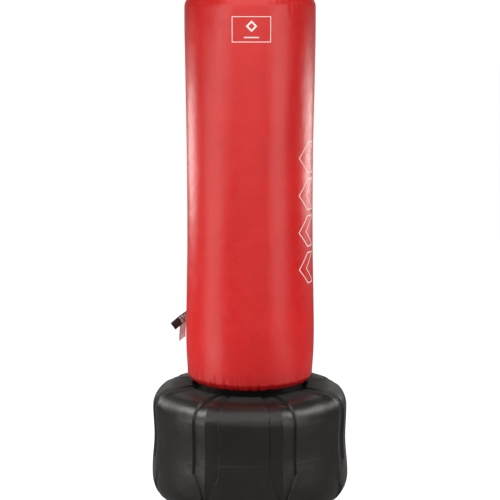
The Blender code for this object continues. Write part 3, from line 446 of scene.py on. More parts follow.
def nitrile_rubber():
    """Matt black rubber with a faint bloom, used for the gasket and the neck's buffers."""
    made = new_material("nitrile_rubber", "#131313", 0.78, IOR=1.5)
    tree = made.node_tree
    place = add(tree, "ShaderNodeTexCoord").outputs["Object"]
    bloom = add(tree, "ShaderNodeTexNoise", {"Vector": place, "Scale": 1.0 / 0.011, "Detail": 4.0})
    shade = add(tree, "ShaderNodeValToRGB", {"Fac": bloom}, [(0.35, "#101010"), (0.8, "#262524")])
    rough = add(tree, "ShaderNodeMapRange", {"Value": bloom, 3: 0.68, 4: 0.88})
    grain = add(tree, "ShaderNodeTexNoise", {"Vector": place, "Scale": 1.0 / 0.0009, "Detail": 3.0})
    skin = add(tree, "ShaderNodeBump", {"Height": grain, "Distance": 0.00008})
    link(made, Base_Color=shade, Roughness=rough, Normal=skin)
    return made


def dress(node, surface):
    """Gives a carried-over CAD node its finished material."""
    held = nodes[node].data
    held.materials.clear()
    held.materials.append(surface)


rubber = nitrile_rubber()
dress("ballast_water", tap_water())

gasket_inner = 0.0157
gasket_outer = (gasket_high.x - gasket_low.x) / 2.0
gasket_middle = ((gasket_inner + gasket_outer) / 2.0, (gasket_low.z + gasket_high.z) / 2.0)
gasket_radii = ((gasket_outer - gasket_inner) / 2.0, (gasket_high.z - gasket_low.z) / 2.0)
gasket_outline = arc(gasket_middle, gasket_radii, 0, 337.5, 15)
gasket_mesh = ring_mesh("gasket", turned_rings(gasket_outline, port), loop=True)
gasket = new_piece("filler_gasket", gasket_mesh, rubber)
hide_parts("fill_cap_gasket")
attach(gasket, "fill_gasket")

cap_radius = (cap_high.x - cap_low.x) / 2.0
cap_seat = gasket_high.z + 0.0003
cap_outline = np.vstack((
    [(0.001, cap_low.z), (0.0152, cap_low.z), (0.0154, cap_low.z + 0.001), (0.0154, cap_seat),
     (cap_radius - 0.0006, cap_seat), (cap_radius, cap_seat + 0.0006), (cap_radius, cap_high.z - cap_bevel)],
    arc((cap_radius - cap_bevel, cap_high.z - cap_bevel), (cap_bevel, cap_bevel), 15, 90, 5),
    [(cap_radius - 0.004, cap_high.z - 0.0001), (0.001, cap_high.z - 0.0003)],
))
cap_rings = turned_rings(cap_outline, segments=cap_segments)
around = np.arange(cap_segments) * 2.0 * np.pi / cap_segments
rib = 1.0 - cap_rib_depth / cap_radius * (0.5 - 0.5 * np.cos(around * cap_rib_count)) ** 2
cap_rings[5:8, :, :2] *= rib[None, :, None]
cap_rings += np.array((*port, 0.0))
cap = new_piece("filler_cap", ring_mesh("cap", cap_rings), hdpe, 30.0)
for side in (-1.0, 1.0):
    middle = (port[0] + side * cap_pocket_offset, port[1])
    hollow = arc((0.0, cap_high.z + 0.0015), (cap_pocket_radius, 0.0052), -88, 0, 10)
    hollow = np.vstack((hollow, [(cap_pocket_radius, cap_high.z + 0.004), (0.001, cap_high.z + 0.004)]))
    hollow_mesh = ring_mesh("finger_hollow", turned_rings(hollow, middle, 48))
    cut_with(cap, new_piece("finger_hollow", hollow_mesh, hdpe), sharp=30.0)
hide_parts("fill_cap")
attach(cap, "fill_cap")

# ---------------------------------------------------------------- neck
# Steel plates, powder-coated black, with two stages of four zinc-plated compression springs between
# them. Each stage has a rubber buffer. Four zinc screws hold the hub down into the tank's boss.

spring_circle = 0.055
spring_coil_radius = 0.0165
spring_wire_radius = 0.00225
spring_turns = 5.0
spring_first_azimuth = 45.0


def powder_coat():
    """Black powder coat: satin, with the fine pebble that baked powder has."""
    made = new_material("powder_coated_steel", "#191919", 0.42, IOR=1.5)
    tree = made.node_tree
    place = add(tree, "ShaderNodeTexCoord").outputs["Object"]
    cloud = add(tree, "ShaderNodeTexNoise", {"Vector": place, "Scale": 1.0 / 0.03, "Detail": 3.0})
    shade = add(tree, "ShaderNodeValToRGB", {"Fac": cloud}, [(0.3, "#151515"), (0.75, "#232323")])
    rough = add(tree, "ShaderNodeMapRange", {"Value": cloud, 3: 0.36, 4: 0.5})
    pebble = add(tree, "ShaderNodeTexNoise", {"Vector": place, "Scale": 1.0 / 0.0011})
    skin = add(tree, "ShaderNodeBump", {"Height": pebble, "Distance": 0.00007})
    link(made, Base_Color=shade, Roughness=rough, Normal=skin)
    return made


def zinc_plate(name, low, high):
    """Bright zinc on steel: a metal with a mottled, faintly blue spangle and handling marks."""
    made = new_material(name, high, 0.32, Metallic=1.0)
    tree = made.node_tree
    place = add(tree, "ShaderNodeTexCoord").outputs["Object"]
    spangle = add(tree, "ShaderNodeTexNoise", {
        "Vector": place, "Scale": 1.0 / 0.004, "Detail": 3.0, "Roughness": 0.6,
    })
    shade = add(tree, "ShaderNodeValToRGB", {"Fac": spangle}, [(0.3, low), (0.7, high)])
    marks = add(tree, "ShaderNodeTexNoise", {"Vector": place, "Scale": 1.0 / 0.0012, "Detail": 4.0})
    rough = add(tree, "ShaderNodeMapRange", {"Value": marks, 3: 0.24, 4: 0.46})
    link(made, Base_Color=shade, Roughness=rough)
    return made


def nodes_tree(name, inputs):
    """A Geometry Nodes tree with a geometry input, these named inputs and a geometry output."""
    tree = bpy.data.node_groups.new(name, "GeometryNodeTree")
    tree.interface.new_socket("Geometry", in_out="INPUT", socket_type="NodeSocketGeometry")
    for label, kind in inputs:
        tree.interface.new_socket(label, in_out="INPUT", socket_type="NodeSocket" + kind)
    tree.interface.new_socket("Geometry", in_out="OUTPUT", socket_type="NodeSocketGeometry")
    return tree, add(tree, "NodeGroupInput").outputs


def close_tree(tree, geometry, surface):
    """Ends a tree in Realize Instances and Set Material."""
    real = add(tree, "GeometryNodeRealizeInstances", {"Geometry": geometry})
    done = add(tree, "GeometryNodeSetMaterial", {"Geometry": real, "Material": surface})
    add(tree, "NodeGroupOutput", {"Geometry": done})


def grown(name, mesh, tree, values, surface, sharp=35.0):
    """The plain mesh that a tree makes of a mesh, as a new piece."""
    carrier = bpy.data.objects.new(name + "_carrier", mesh)
    bpy.context.scene.collection.objects.link(carrier)
    modifier = carrier.modifiers.new("nodes", "NODES")
    modifier.node_group = tree
    for item in tree.interface.items_tree:
        if item.in_out == "INPUT" and item.name in values:
            modifier[item.identifier] = values[item.name]
    graph = bpy.context.evaluated_depsgraph_get()
    result = bpy.data.meshes.new_from_object(carrier.evaluated_get(graph))
    bpy.data.objects.remove(carrier, do_unlink=True)
    return new_piece(name, result, surface, sharp)


def spring_tree():
    """One coil spring on each point it is given."""
    tree, given = nodes_tree("coil_springs", [
        ("Turns", "Float"), ("Coil Radius", "Float"), ("Wire Radius", "Float"), ("Rise", "Float"),
        ("Material", "Material"),
    ])
    spiral = add(tree, "GeometryNodeCurveSpiral", {
        "Resolution": 32, "Rotations": given["Turns"], "Start Radius": given["Coil Radius"],
        "End Radius": given["Coil Radius"], "Height": given["Rise"],
    })
    wire = add(tree, "GeometryNodeCurvePrimitiveCircle", {"Resolution": 12, "Radius": given["Wire Radius"]})
    coil = add(tree, "GeometryNodeCurveToMesh", {"Curve": spiral, "Profile Curve": wire, "Fill Caps": True})
    set_out = add(tree, "GeometryNodeInstanceOnPoints", {"Points": given["Geometry"], "Instance": coil})
    close_tree(tree, set_out, given["Material"])
    return tree


coated = powder_coat()
zinc = zinc_plate("zinc_plated_steel", "#A9ADB1", "#C9CDD0")
spring_zinc = zinc_plate("zinc_plated_spring_steel", "#8D9093", "#B2B5B8")
springs = spring_tree()
for stage, lower_body, upper_body in (("lower", "base", "mid_deck"), ("upper", "mid_deck", "bag")):
    spring_low, spring_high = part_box(f"{stage}_spring_1")
    corners = spring_first_azimuth + 90.0 * np.arange(4)
    feet = put_on_azimuth(corners, spring_circle, spring_low.z + spring_wire_radius)
    points = bpy.data.meshes.new(f"{stage}_feet")
    points.from_pydata(feet.tolist(), [], [])
    stack = grown(f"{stage}_springs", points, springs, {
        "Turns": spring_turns, "Coil Radius": spring_coil_radius, "Wire Radius": spring_wire_radius,
        "Rise": spring_high.z - spring_low.z - 2.0 * spring_wire_radius, "Material": spring_zinc,
    }, spring_zinc, 80.0)
    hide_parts(*[f"{stage}_spring_{index + 1}" for index in range(4)])
    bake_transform(stack)
for surface, names in (
    (coated, ("neck_hub", "mid_plate", "post_plate")),
    (zinc, ("hub_screw_1", "hub_screw_2", "hub_screw_3", "hub_screw_4")),
    (zinc, ("post_bolt", "post_nut", "core_post")),
    (rubber, ("lower_buffer", "upper_buffer")),
):
    for node in names:
        dress(node, surface)

# ---------------------------------------------------------------- core of the bag
# A zinc-plated tube stands on the neck with a plastic cap on its end. A plywood ring carries a dense
# grey foam tube, a soft white wrap round it and a white pad on top, all cut from polyurethane foam.

foam_cell = 0.0016
bolt_room_size = (0.111, 0.022, 0.022)


def birch_plywood():
    """Pale rotary-cut birch: long soft grain across the face, thin dark plies on the edge."""
    made = new_material("birch_plywood", "#C9A26B", 0.62)
    tree = made.node_tree
    place = add(tree, "ShaderNodeTexCoord").outputs["Object"]
    stretched = add(tree, "ShaderNodeMapping", {"Vector": place, "Scale": (9.0, 1.0, 14.0)})
    grain = add(tree, "ShaderNodeTexNoise", {
        "Vector": stretched, "Scale": 1.0 / 0.05, "Detail": 5.0, "Roughness": 0.6,
    })
    shades = [(0.3, "#A87B45"), (0.55, "#C9A26B"), (0.8, "#DAB986")]
    shade = add(tree, "ShaderNodeValToRGB", {"Fac": grain}, shades)
    link(made, Base_Color=shade, Normal=add(tree, "ShaderNodeBump", {"Height": grain, "Distance": 0.0002}))
    return made


def cut_foam(name, low, high):
    """Open-cell polyurethane foam: matt, pitted with cells a millimetre or two across."""
    made = new_material(name, high, 0.95, Sheen_Weight=0.2)
    tree = made.node_tree
    place = add(tree, "ShaderNodeTexCoord").outputs["Object"]
    cells = add(tree, "ShaderNodeTexVoronoi", {"Vector": place, "Scale": 1.0 / foam_cell}).outputs["Distance"]
    shade = add(tree, "ShaderNodeValToRGB", {"Fac": cells}, [(0.1, low), (0.5, high)])
    link(made, Base_Color=shade, Normal=add(tree, "ShaderNodeBump", {"Height": cells, "Distance": 0.0006}))
    return made


dress("bottom_board", birch_plywood())
dress("post_cap", hdpe)
core_low, core_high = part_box("foam_core")
wrap_low, wrap_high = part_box("foam_wrap")
pad_low, pad_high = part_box("top_pad")
post_low, post_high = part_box("core_post")
grey_foam = cut_foam("firm_grey_foam", "#5E5F62", "#8C8D90")
white_foam = cut_foam("soft_white_foam", "#C9C7C0", "#ECEAE4")
bore_radius = post_high.x + 0.0006
hollow_radius = 0.115
core_outline = [
    (hollow_radius, core_low.z), (core_high.x, core_low.z), (core_high.x, core_high.z),
    (bore_radius, core_high.z), (bore_radius, post_low.z), (hollow_radius, post_low.z),
]
core_mesh = ring_mesh("foam_tube", turned_rings(core_outline, segments=96), loop=True)
core = new_piece("foam_tube", core_mesh, grey_foam)
bolt_low, bolt_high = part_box("post_bolt")
room = bmesh.new()
bolt_place = Matrix.Translation((0, 0, (bolt_low.z + bolt_high.z) / 2.0))
bmesh.ops.create_cube(room, size=1.0, matrix=bolt_place @ Matrix.Diagonal((*bolt_room_size, 1.0)))
room_mesh = bpy.data.meshes.new("bolt_room")
room.to_mesh(room_mesh)
room.free()
cut_with(core, new_piece("bolt_room", room_mesh, grey_foam))
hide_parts("foam_core")
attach(core, "bag")

# ---------------------------------------------------------------- bag cover
# Red PVC-coated polyester, welded round and pulled tight over the foam. A drawcord gathers its foot
# under the bag, so the lower corner breaks into small uneven folds. The zip at the back closes it.

cover_low, cover_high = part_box("cover_body")
cover_foot_height = cover_low.z
cover_top_height = cover_high.z
cover_widest = 0.1800
cover_thickness = 0.0015
cover_foot_corner = 0.0225
cover_top_corner = 0.0380
cover_foot_inset = 0.0045
cover_top_inset = 0.0010
cover_side = [
    (0.0520, 0.0010), (0.1114, 0.0000), (0.2105, 0.0020), (0.3195, 0.0045), (0.4383, 0.0060),
    (0.6365, 0.0055), (0.7355, 0.0038), (0.8346, 0.0025), (0.9435, 0.0010),
]
hem_radius = 0.1215
hem_steps = 9
corner_steps = 16
top_steps = 13
foot_points = 30
cover_columns = 540
gather_top = 0.560
gather_columns = 220
gather_pitch = 0.0048
gather_fullness = 0.030
gather_cap = 0.0055
gather_hem_steps = 7
gather_corner_steps = 8
gather_frames = 20
cover_grain = 0.0011
crimp_seam = 0.3445
crimp_width = (0.9, 2.8)
crimp_height = (0.016, 0.042)
crimp_depth = (0.0003, 0.0022)
crimp_spacing = (4.5, 13.0)


def coated_polyester():
    """Red PVC on a polyester cloth: a fine pebble in the skin and an even soft gloss, with painted shade that
    darkens the red towards the foot."""
    made = new_material("pvc_coated_polyester", "#C8101A", 0.38, IOR=1.52, Coat_Weight=0.18,
                        Coat_Roughness=0.26)
    tree = made.node_tree
    place = add(tree, "ShaderNodeTexCoord").outputs["Object"]
    cloud = add(tree, "ShaderNodeTexNoise", {
        "Vector": place, "Scale": 1.0 / 0.16, "Detail": 3.0, "Roughness": 0.55,
    })
    shades = [(0.25, "#C60E10"), (0.55, "#CF1314"), (0.8, "#D71817")]
    unshaded_red = add(tree, "ShaderNodeValToRGB", {"Fac": cloud}, shades)
    height = add(tree, "ShaderNodeSeparateXYZ", {"Vector": place}).outputs["Z"]
    # Painted shade: the red is mixed towards a dark red over the lowest 55 mm of the cover.
    painted_foot_shade = add(tree, "ShaderNodeMapRange", {
        "Value": height, 1: cover_low.z, 2: cover_low.z + 0.055, 3: 0.55, 4: 0.0,
    })
    shade = add(tree, "ShaderNodeMix", {0: painted_foot_shade, 6: unshaded_red, 7: linear("#8A0A0F")}, data_type="RGBA")
    socket = made.node_tree.nodes["Principled BSDF"].inputs["Base Color"]
    tree.links.new(shade.outputs[2], socket)
    patches = add(tree, "ShaderNodeTexNoise", {
        "Vector": place, "Scale": 1.0 / 0.018, "Detail": 4.0, "Roughness": 0.6,
    })
    rough = add(tree, "ShaderNodeMapRange", {"Value": patches, 1: 0.3, 2: 0.7, 3: 0.31, 4: 0.44})
    grain = {"Vector": place, "Scale": 1.0 / cover_grain}
    pebble = add(tree, "ShaderNodeTexVoronoi", grain, feature="SMOOTH_F1").outputs["Distance"]
    skin = add(tree, "ShaderNodeBump", {"Height": pebble, "Distance": 0.00005})
    drape = add(tree, "ShaderNodeTexNoise", {"Vector": place, "Scale": 1.0 / 0.045, "Detail": 3.0})
    draped = add(tree, "ShaderNodeBump", {"Height": drape, "Distance": 0.0016, "Normal": skin})
    link(made, Roughness=rough, Normal=draped)
    return made


def smooth_curve(places, values, wanted):
    """A smooth curve through (place, value) pairs, without a kink at any of them."""
    slopes = np.gradient(values, places)
    index = np.clip(np.searchsorted(places, wanted) - 1, 0, len(places) - 2)
    span = places[index + 1] - places[index]
    t = (wanted - places[index]) / span
    a, b = values[index], values[index + 1]
    m, n = slopes[index] * span, slopes[index + 1] * span
    leaving = a * (2 * t**3 - 3 * t**2 + 1) + m * (t**3 - 2 * t**2 + t)
    return leaving + b * (3 * t**2 - 2 * t**3) + n * (t**3 - t**2)


side_low = cover_foot_height + cover_foot_corner
side_high = cover_top_height - cover_top_corner
side_rise = [side_low + share * (side_high - side_low) for share, _ in cover_side]
side_places = np.array([side_low] + side_rise + [side_high])
side_insets = [cover_foot_inset] + [inset for _, inset in cover_side] + [cover_top_inset]
side_radii = cover_widest - np.array(side_insets)


def run_length(line):
    """How far along a line each of its points lies."""
    return np.concatenate(([0.0], np.cumsum(np.linalg.norm(np.diff(line, axis=0), axis=1))))


def cover_outline(hem_steps, corner_steps, heights, top_steps):
    """The cover's outside from the hem under the bag, up the side, to the seam round the top."""
    foot_radius = side_radii[0] - cover_foot_corner
    top_radius = side_radii[-1] - cover_top_corner
    hem = np.linspace((hem_radius, cover_foot_height), (foot_radius, cover_foot_height), hem_steps + 1)[:-1]
    foot = arc((foot_radius, side_low), (cover_foot_corner, cover_foot_corner), -90, 0, corner_steps)
    side = np.column_stack((smooth_curve(side_places, side_radii, heights), heights))
    top = arc((top_radius, side_high), (cover_top_corner, cover_top_corner), 0, 90, top_steps)
    return np.vstack((hem, foot, side, top))


def gathered_foot():
    """Drapes the cover's foot as cloth: it is cut wider than the hem that holds it, so it folds.
    Gives the start and the draped points of a grid of (rows, columns)."""
    steps = int(round((gather_top - side_low) / gather_pitch))
    heights = np.linspace(side_low, gather_top, steps + 1)[1:]
    outline = cover_outline(gather_hem_steps, gather_corner_steps, heights, 0)[:-1]
    corner_end = gather_hem_steps + gather_corner_steps
    azimuths = np.arange(gather_columns) * 360.0 / gather_columns
    start = put_on_azimuth(azimuths, outline[:, :1], outline[:, 1:])
    state = np.random.RandomState(4)
    start += state.normal(0.0, 0.0001, start.shape)
    length = run_length(outline)
    fall = length[corner_end] - length
    below = fall > 0.0
    cut_height = np.where(below, side_low - fall, outline[:, 1])
    flared = np.maximum(outline[:, 0], outline[corner_end, 0] - 0.35 * fall)
    cut_radius = np.where(below, flared, outline[:, 0])
    cut_radius = np.where(below, np.minimum(cut_radius, side_radii[0]), cut_radius)
    cut_radius = cut_radius + gather_fullness * np.clip(fall, 0, 0.05) / 0.05
    cut = put_on_azimuth(azimuths, cut_radius[:, None], cut_height[:, None])
    mesh = ring_mesh("foot_cloth", start, caps=False)
    cloth = bpy.data.objects.new("foot_cloth", mesh)
    bpy.context.scene.collection.objects.link(cloth)
    cloth.shape_key_add(name="sewn")
    pattern = cloth.shape_key_add(name="cut")
    pattern.data.foreach_set("co", cut.reshape(-1))
    pattern.value = 0.0
    held = cloth.vertex_groups.new(name="held")
    last = (len(outline) - 1) * gather_columns
    held.add(list(range(gather_columns)) + list(range(last, last + gather_columns)), 1.0, "REPLACE")
    modifier = cloth.modifiers.new("Cloth", "CLOTH")
    settings = modifier.settings
    settings.quality = 6
    settings.mass = 0.03
    settings.tension_stiffness = 40.0
    settings.compression_stiffness = 40.0
    settings.shear_stiffness = 12.0
    settings.bending_stiffness = 0.35
    settings.air_damping = 1.0
    settings.vertex_group_mass = "held"
    settings.rest_shape_key = pattern
    settings.use_pressure = True
    settings.uniform_pressure_force = 3.0
    settings.effector_weights.gravity = 0.0
    modifier.point_cache.frame_start = 1
    modifier.point_cache.frame_end = gather_frames
    for step in range(1, gather_frames + 1):
        bpy.context.scene.frame_set(step)
    graph = bpy.context.evaluated_depsgraph_get()
    draped = np.empty(len(mesh.vertices) * 3)
    cloth.evaluated_get(graph).data.vertices.foreach_get("co", draped)
    bpy.context.scene.frame_set(1)
    bpy.data.objects.remove(cloth, do_unlink=True)
    return outline, start, draped.reshape(start.shape)


def spread(grid, rows, columns):
    """Values of a (rows, columns, 3) grid that closes round, at fractional rows and columns."""
    low_row = np.clip(rows.astype(int), 0, grid.shape[0] - 2)
    low_column = np.floor(columns).astype(int)
    row_share = np.clip(rows - low_row, 0.0, 1.0)[:, None, None]
    column_share = (columns - low_column)[None, :, None]
    first = low_column % grid.shape[1]
    second = (low_column + 1) % grid.shape[1]
    lower = grid[low_row][:, first] * (1 - column_share) + grid[low_row][:, second] * column_share
    upper = grid[low_row + 1][:, first] * (1 - column_share) + grid[low_row + 1][:, second] * column_share
    return lower * (1 - row_share) + upper * row_share


side_heights = np.concatenate((
    np.arange(side_low + 0.003, 0.430, 0.003), np.arange(0.430, 0.520, 0.006), np.arange(0.520, 1.290, 0.016),
    np.arange(1.290, side_high - 0.002, 0.006),
))
cover_line = cover_outline(hem_steps, corner_steps, side_heights, top_steps)
cover_normals = outline_normals(cover_line)
cover_azimuths = np.arange(cover_columns) * 360.0 / cover_columns
line_length = run_length(cover_line)
cover_rings = put_on_azimuth(cover_azimuths, cover_line[:, :1], cover_line[:, 1:])
outward = put_on_azimuth(cover_azimuths, cover_normals[:, :1], cover_normals[:, 1:])
line_height = cover_line[:, 1:]
azimuth_row = cover_azimuths[None, :]

# Broad softness all over, and finer puckers drawn in by the seam round the top.
swell = lumps(azimuth_row, line_height, 11, [(2, 0.9, 0.0006), (4, 0.45, 0.0007), (9, 0.30, 0.0003)])
foot_end = smooth_step((line_height - cover_foot_height) / 0.05)
ends = foot_end * smooth_step((cover_top_height - line_height) / 0.03)
pucker_fade = smooth_step((line_height - 1.325) / 0.06)
pucker = lumps(azimuth_row, line_height, 5, [(38, 0.35, 0.0009), (61, 0.25, 0.0004)])
pucker_side = 0.15 + 0.85 * np.exp(-(((azimuth_row - 55.0) / 35.0) ** 2))
seam_hold = smooth_step((line_length[-1] - line_length)[:, None] / 0.012)
relief = swell * ends + pucker * pucker_fade * pucker_side * seam_hold
cover_rings = cover_rings + outward * relief[:, :, None]

foot_line, foot_start, foot_draped = gathered_foot()
foot_length = run_length(foot_line)
moved = foot_draped - foot_start
reach = np.linalg.norm(moved, axis=-1, keepdims=True)
moved *= np.minimum(1.0, gather_cap / np.maximum(reach, 1e-9))
inside = line_length <= foot_length[-1]
foot_rows = np.interp(line_length[inside], foot_length, np.arange(len(foot_line)))
foot_columns = cover_azimuths / 360.0 * gather_columns
fade = smooth_step((gather_top - cover_line[inside, 1]) / 0.09)[:, None, None]
cover_rings[inside] += spread(moved, foot_rows, foot_columns) * fade


def crimps(azimuth, height, length):
    """Short puckers that the foot's seam draws in: narrow dents of uneven depth and height."""
    state = np.random.RandomState(23)
    total = 0.0 * azimuth + 0.0 * height
    at = 0.0
    while at < 360.0:
        width = state.uniform(crimp_width[0], crimp_width[1])
        tall = state.uniform(crimp_height[0], crimp_height[1]) * state.choice((0.45, 1.0, 1.35))
        deep = state.uniform(crimp_depth[0], crimp_depth[1])
        lean = state.uniform(-14.0, 14.0)
        off = (azimuth - at - lean * (height - crimp_seam) + 180.0) % 360.0 - 180.0
        across = off / width
        dent = -np.exp(-(across**2)) + 0.55 * np.exp(-((np.abs(across) - 1.9) ** 2))
        upward = np.clip((height - crimp_seam) / tall, 0.0, 1.0)
        total = total + deep * dent * (1.0 - smooth_step(upward)) ** 1.3
        at += state.uniform(crimp_spacing[0], crimp_spacing[1])
    scallop = lumps(azimuth, 0.0 * height, 31, [(113, 1.0, 0.0006), (83, 1.0, 0.0006), (37, 1.0, 0.0006)])
    near_seam = np.exp(-(((length - crimp_seam_length) / 0.0045) ** 2))
    return total + (scallop - 0.0012) * near_seam


seam_index = int(np.argmin(np.abs(cover_line[:foot_points, 1] - crimp_seam)))
crimp_seam_length = line_length[seam_index]
crimp_fade = smooth_step(line_length[:, None] / 0.010)
puckers = crimps(azimuth_row, line_height, line_length[:, None]) * crimp_fade
cover_rings = cover_rings + outward * puckers[:, :, None]

last_row = len(cover_line) - 1
inner_rows = np.unique(np.concatenate((np.arange(0, 28, 3), np.arange(28, last_row + 1, 9), [last_row])))
inner = (cover_rings - outward * cover_thickness)[inner_rows][::-1]
vinyl = coated_polyester()
cover_mesh = ring_mesh("bag_cover", np.concatenate((cover_rings, inner)), loop=True)
cover = new_piece("bag_cover", cover_mesh, vinyl, 60.0)
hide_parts("cover_body")
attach(cover, "bag")


def on_cover(azimuth, height, lift):
    """Points this far off the finished cover, which follow its lumps. azimuth and height are arrays."""
    azimuth, height = np.broadcast_arrays(np.asarray(azimuth, float), np.asarray(height, float))
    corner_end = hem_steps + corner_steps
    side = slice(corner_end, corner_end + 1 + len(side_heights))
    heights = cover_line[side, 1]
    rows = np.interp(height, heights, np.arange(len(heights)))
    columns = (azimuth % 360.0) / 360.0 * cover_columns
    low_row = np.clip(rows.astype(int), 0, len(heights) - 2)
    low_column = np.floor(columns).astype(int)
    row_share = (rows - low_row)[..., None]
    column_share = (columns - low_column)[..., None]
    grid = cover_rings[side]
    first, second = low_column % cover_columns, (low_column + 1) % cover_columns
    lower = grid[low_row, first] * (1 - column_share) + grid[low_row, second] * column_share
    upper = grid[low_row + 1, first] * (1 - column_share) + grid[low_row + 1, second] * column_share
    turned = np.radians(azimuth)
    away = np.stack((np.sin(turned), -np.cos(turned), 0.0 * turned), axis=-1)
    return lower * (1 - row_share) + upper * row_share + away * np.asarray(lift)[..., None]


wrap_heights = np.linspace(0.40, 1.35, 30)
wrap_outline = np.vstack((
    [(0.1453, wrap_low.z), (0.1555, wrap_low.z)],
    arc((0.1515, wrap_low.z + 0.016), (0.0165, 0.016), -70, 0, 6),
    np.column_stack((smooth_curve(side_places, side_radii, wrap_heights) - 0.0045, wrap_heights)),
    arc((0.1400, 1.362), (0.0335, 0.033), 0, 62, 6), [(0.1453, wrap_high.z - 0.003)],
))
wrap_mesh = ring_mesh("foam_wadding", turned_rings(wrap_outline, segments=96), loop=True)
wrap = new_piece("foam_wadding", wrap_mesh, white_foam)
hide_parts("foam_wrap")
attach(wrap, "bag")
pad_share = np.linspace(1.0, 0.01, 13)
pad_top = min(pad_high.z, cover_top_height + 0.0075)
pad_crown = np.column_stack((0.1400 * pad_share, pad_top - 0.0135 * pad_share**2))
pad_outline = np.vstack(([(0.001, pad_low.z), (0.1425, pad_low.z), (0.1425, pad_top - 0.0165)], pad_crown))
pad_mesh = ring_mesh("top_cushion", turned_rings(pad_outline, segments=96))
pad = new_piece("top_cushion", pad_mesh, white_foam, 50.0)
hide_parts("top_pad")
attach(pad, "bag")

# ---------------------------------------------------------------- cover's top panel and hem
# A round panel of the same coated cloth is sewn to the cover's upper edge with a welted seam, in
# thick bonded thread. The hem under the bag holds a closed ring of black braided drawcord.

panel_edge_radius = 0.1407
panel_crown = 0.0135
welt_radius = 0.0021
stitch_length = 0.0030
stitch_spacing = 0.0042
stitch_thickness = 0.0009
seam_setback = 0.0032
seam_lift = 0.0002
hem_cord_radius = 0.0022
hem_seam_radius = 0.1340


def bonded_thread(name, low, high):
    """Thick bonded polyester thread: a slight gloss, and a twist too fine to see but for its sparkle."""
    made = new_material(name, high, 0.5, Sheen_Weight=0.15)
    tree = made.node_tree
    place = add(tree, "ShaderNodeTexCoord").outputs["Object"]
    twist = add(tree, "ShaderNodeTexNoise", {"Vector": place, "Scale": 1.0 / 0.0008})
    shade = add(tree, "ShaderNodeValToRGB", {"Fac": twist}, [(0.3, low), (0.7, high)])
    link(made, Base_Color=shade, Normal=add(tree, "ShaderNodeBump", {"Height": twist, "Distance": 0.0002}))
    return made


def braid(name, low, high, pitch):
    """Braided or woven synthetic yarn: a small over-and-under pattern, matt, with a soft sheen."""
    made = new_material(name, high, 0.82, Sheen_Weight=0.3, Sheen_Roughness=0.5)
    tree = made.node_tree
    place = add(tree, "ShaderNodeTexCoord").outputs["Object"]
    yarn = add(tree, "ShaderNodeTexVoronoi", {"Vector": place, "Scale": 1.0 / pitch}).outputs["Distance"]
    shade = add(tree, "ShaderNodeValToRGB", {"Fac": yarn}, [(0.1, high), (0.65, low)])
    link(made, Base_Color=shade, Normal=add(tree, "ShaderNodeBump", {"Height": yarn, "Distance": -0.0004}))
    return made


def stitch_tree():
    """One stitch on each point it is given, laid along that point's own direction."""
    tree, given = nodes_tree("stitches", [
        ("Length", "Float"), ("Thickness", "Float"), ("Wobble", "Float"), ("Seed", "Int"),
        ("Material", "Material"),
    ])
    thick, wobble = given["Thickness"], given["Wobble"]
    ball = add(tree, "GeometryNodeMeshUVSphere", {"Segments": 6, "Rings": 4, "Radius": 0.5})
    size = add(tree, "ShaderNodeCombineXYZ", {"X": thick, "Y": thick, "Z": given["Length"]})
    stitch = add(tree, "GeometryNodeTransform", {"Geometry": ball, "Scale": size})
    along = add(tree, "GeometryNodeInputNamedAttribute", {"Name": "along"}, data_type="FLOAT_VECTOR")
    laid = add(tree, "FunctionNodeAlignRotationToVector", {"Vector": along}, axis="Z")
    less = add(tree, "ShaderNodeMath", {0: wobble, 1: -1.0}, operation="MULTIPLY")
    low = add(tree, "ShaderNodeCombineXYZ", {"X": less, "Y": less, "Z": less})
    high = add(tree, "ShaderNodeCombineXYZ", {"X": wobble, "Y": wobble, "Z": wobble})
    limits = {0: low, 1: high, "Seed": given["Seed"]}
    off = add(tree, "FunctionNodeRandomValue", limits, data_type="FLOAT_VECTOR")
    turn = {"Rotation": laid, "Rotate By": off}
    turned = add(tree, "FunctionNodeRotateRotation", turn, rotation_space="LOCAL")
    rows = add(tree, "GeometryNodeInstanceOnPoints", {
        "Points": given["Geometry"], "Instance": stitch, "Rotation": turned,
    })
    close_tree(tree, rows, given["Material"])
    return tree


def sewn(name, lines, surface, body, length=stitch_length, spacing=stitch_spacing,
         thickness=stitch_thickness):
    """Stitches along these lines of points, evenly spaced, as one piece on this body."""
    places, directions = [], []
    for line in lines:
        line = np.asarray(line)
        run = run_length(line)
        count = max(2, int(run[-1] / spacing))
        at = (np.arange(count) + 0.5) / count * run[-1]
        here = np.column_stack([np.interp(at, run, line[:, axis]) for axis in range(3)])
        ahead = np.column_stack([np.interp(at + 0.0008, run, line[:, axis]) for axis in range(3)])
        behind = np.column_stack([np.interp(at - 0.0008, run, line[:, axis]) for axis in range(3)])
        places.append(here)
        directions.append(ahead - behind)
    places = np.vstack(places)
    directions = np.vstack(directions)
    mesh = bpy.data.meshes.new(name + "_points")
    mesh.from_pydata(places.tolist(), [], [])
    mesh.attributes.new("along", "FLOAT_VECTOR", "POINT").data.foreach_set("vector", directions.reshape(-1))
    piece = grown(name, mesh, stitching, {
        "Length": length, "Thickness": thickness, "Wobble": 0.06, "Seed": 7, "Material": surface,
    }, surface, 80.0)
    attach(piece, body)
    return piece


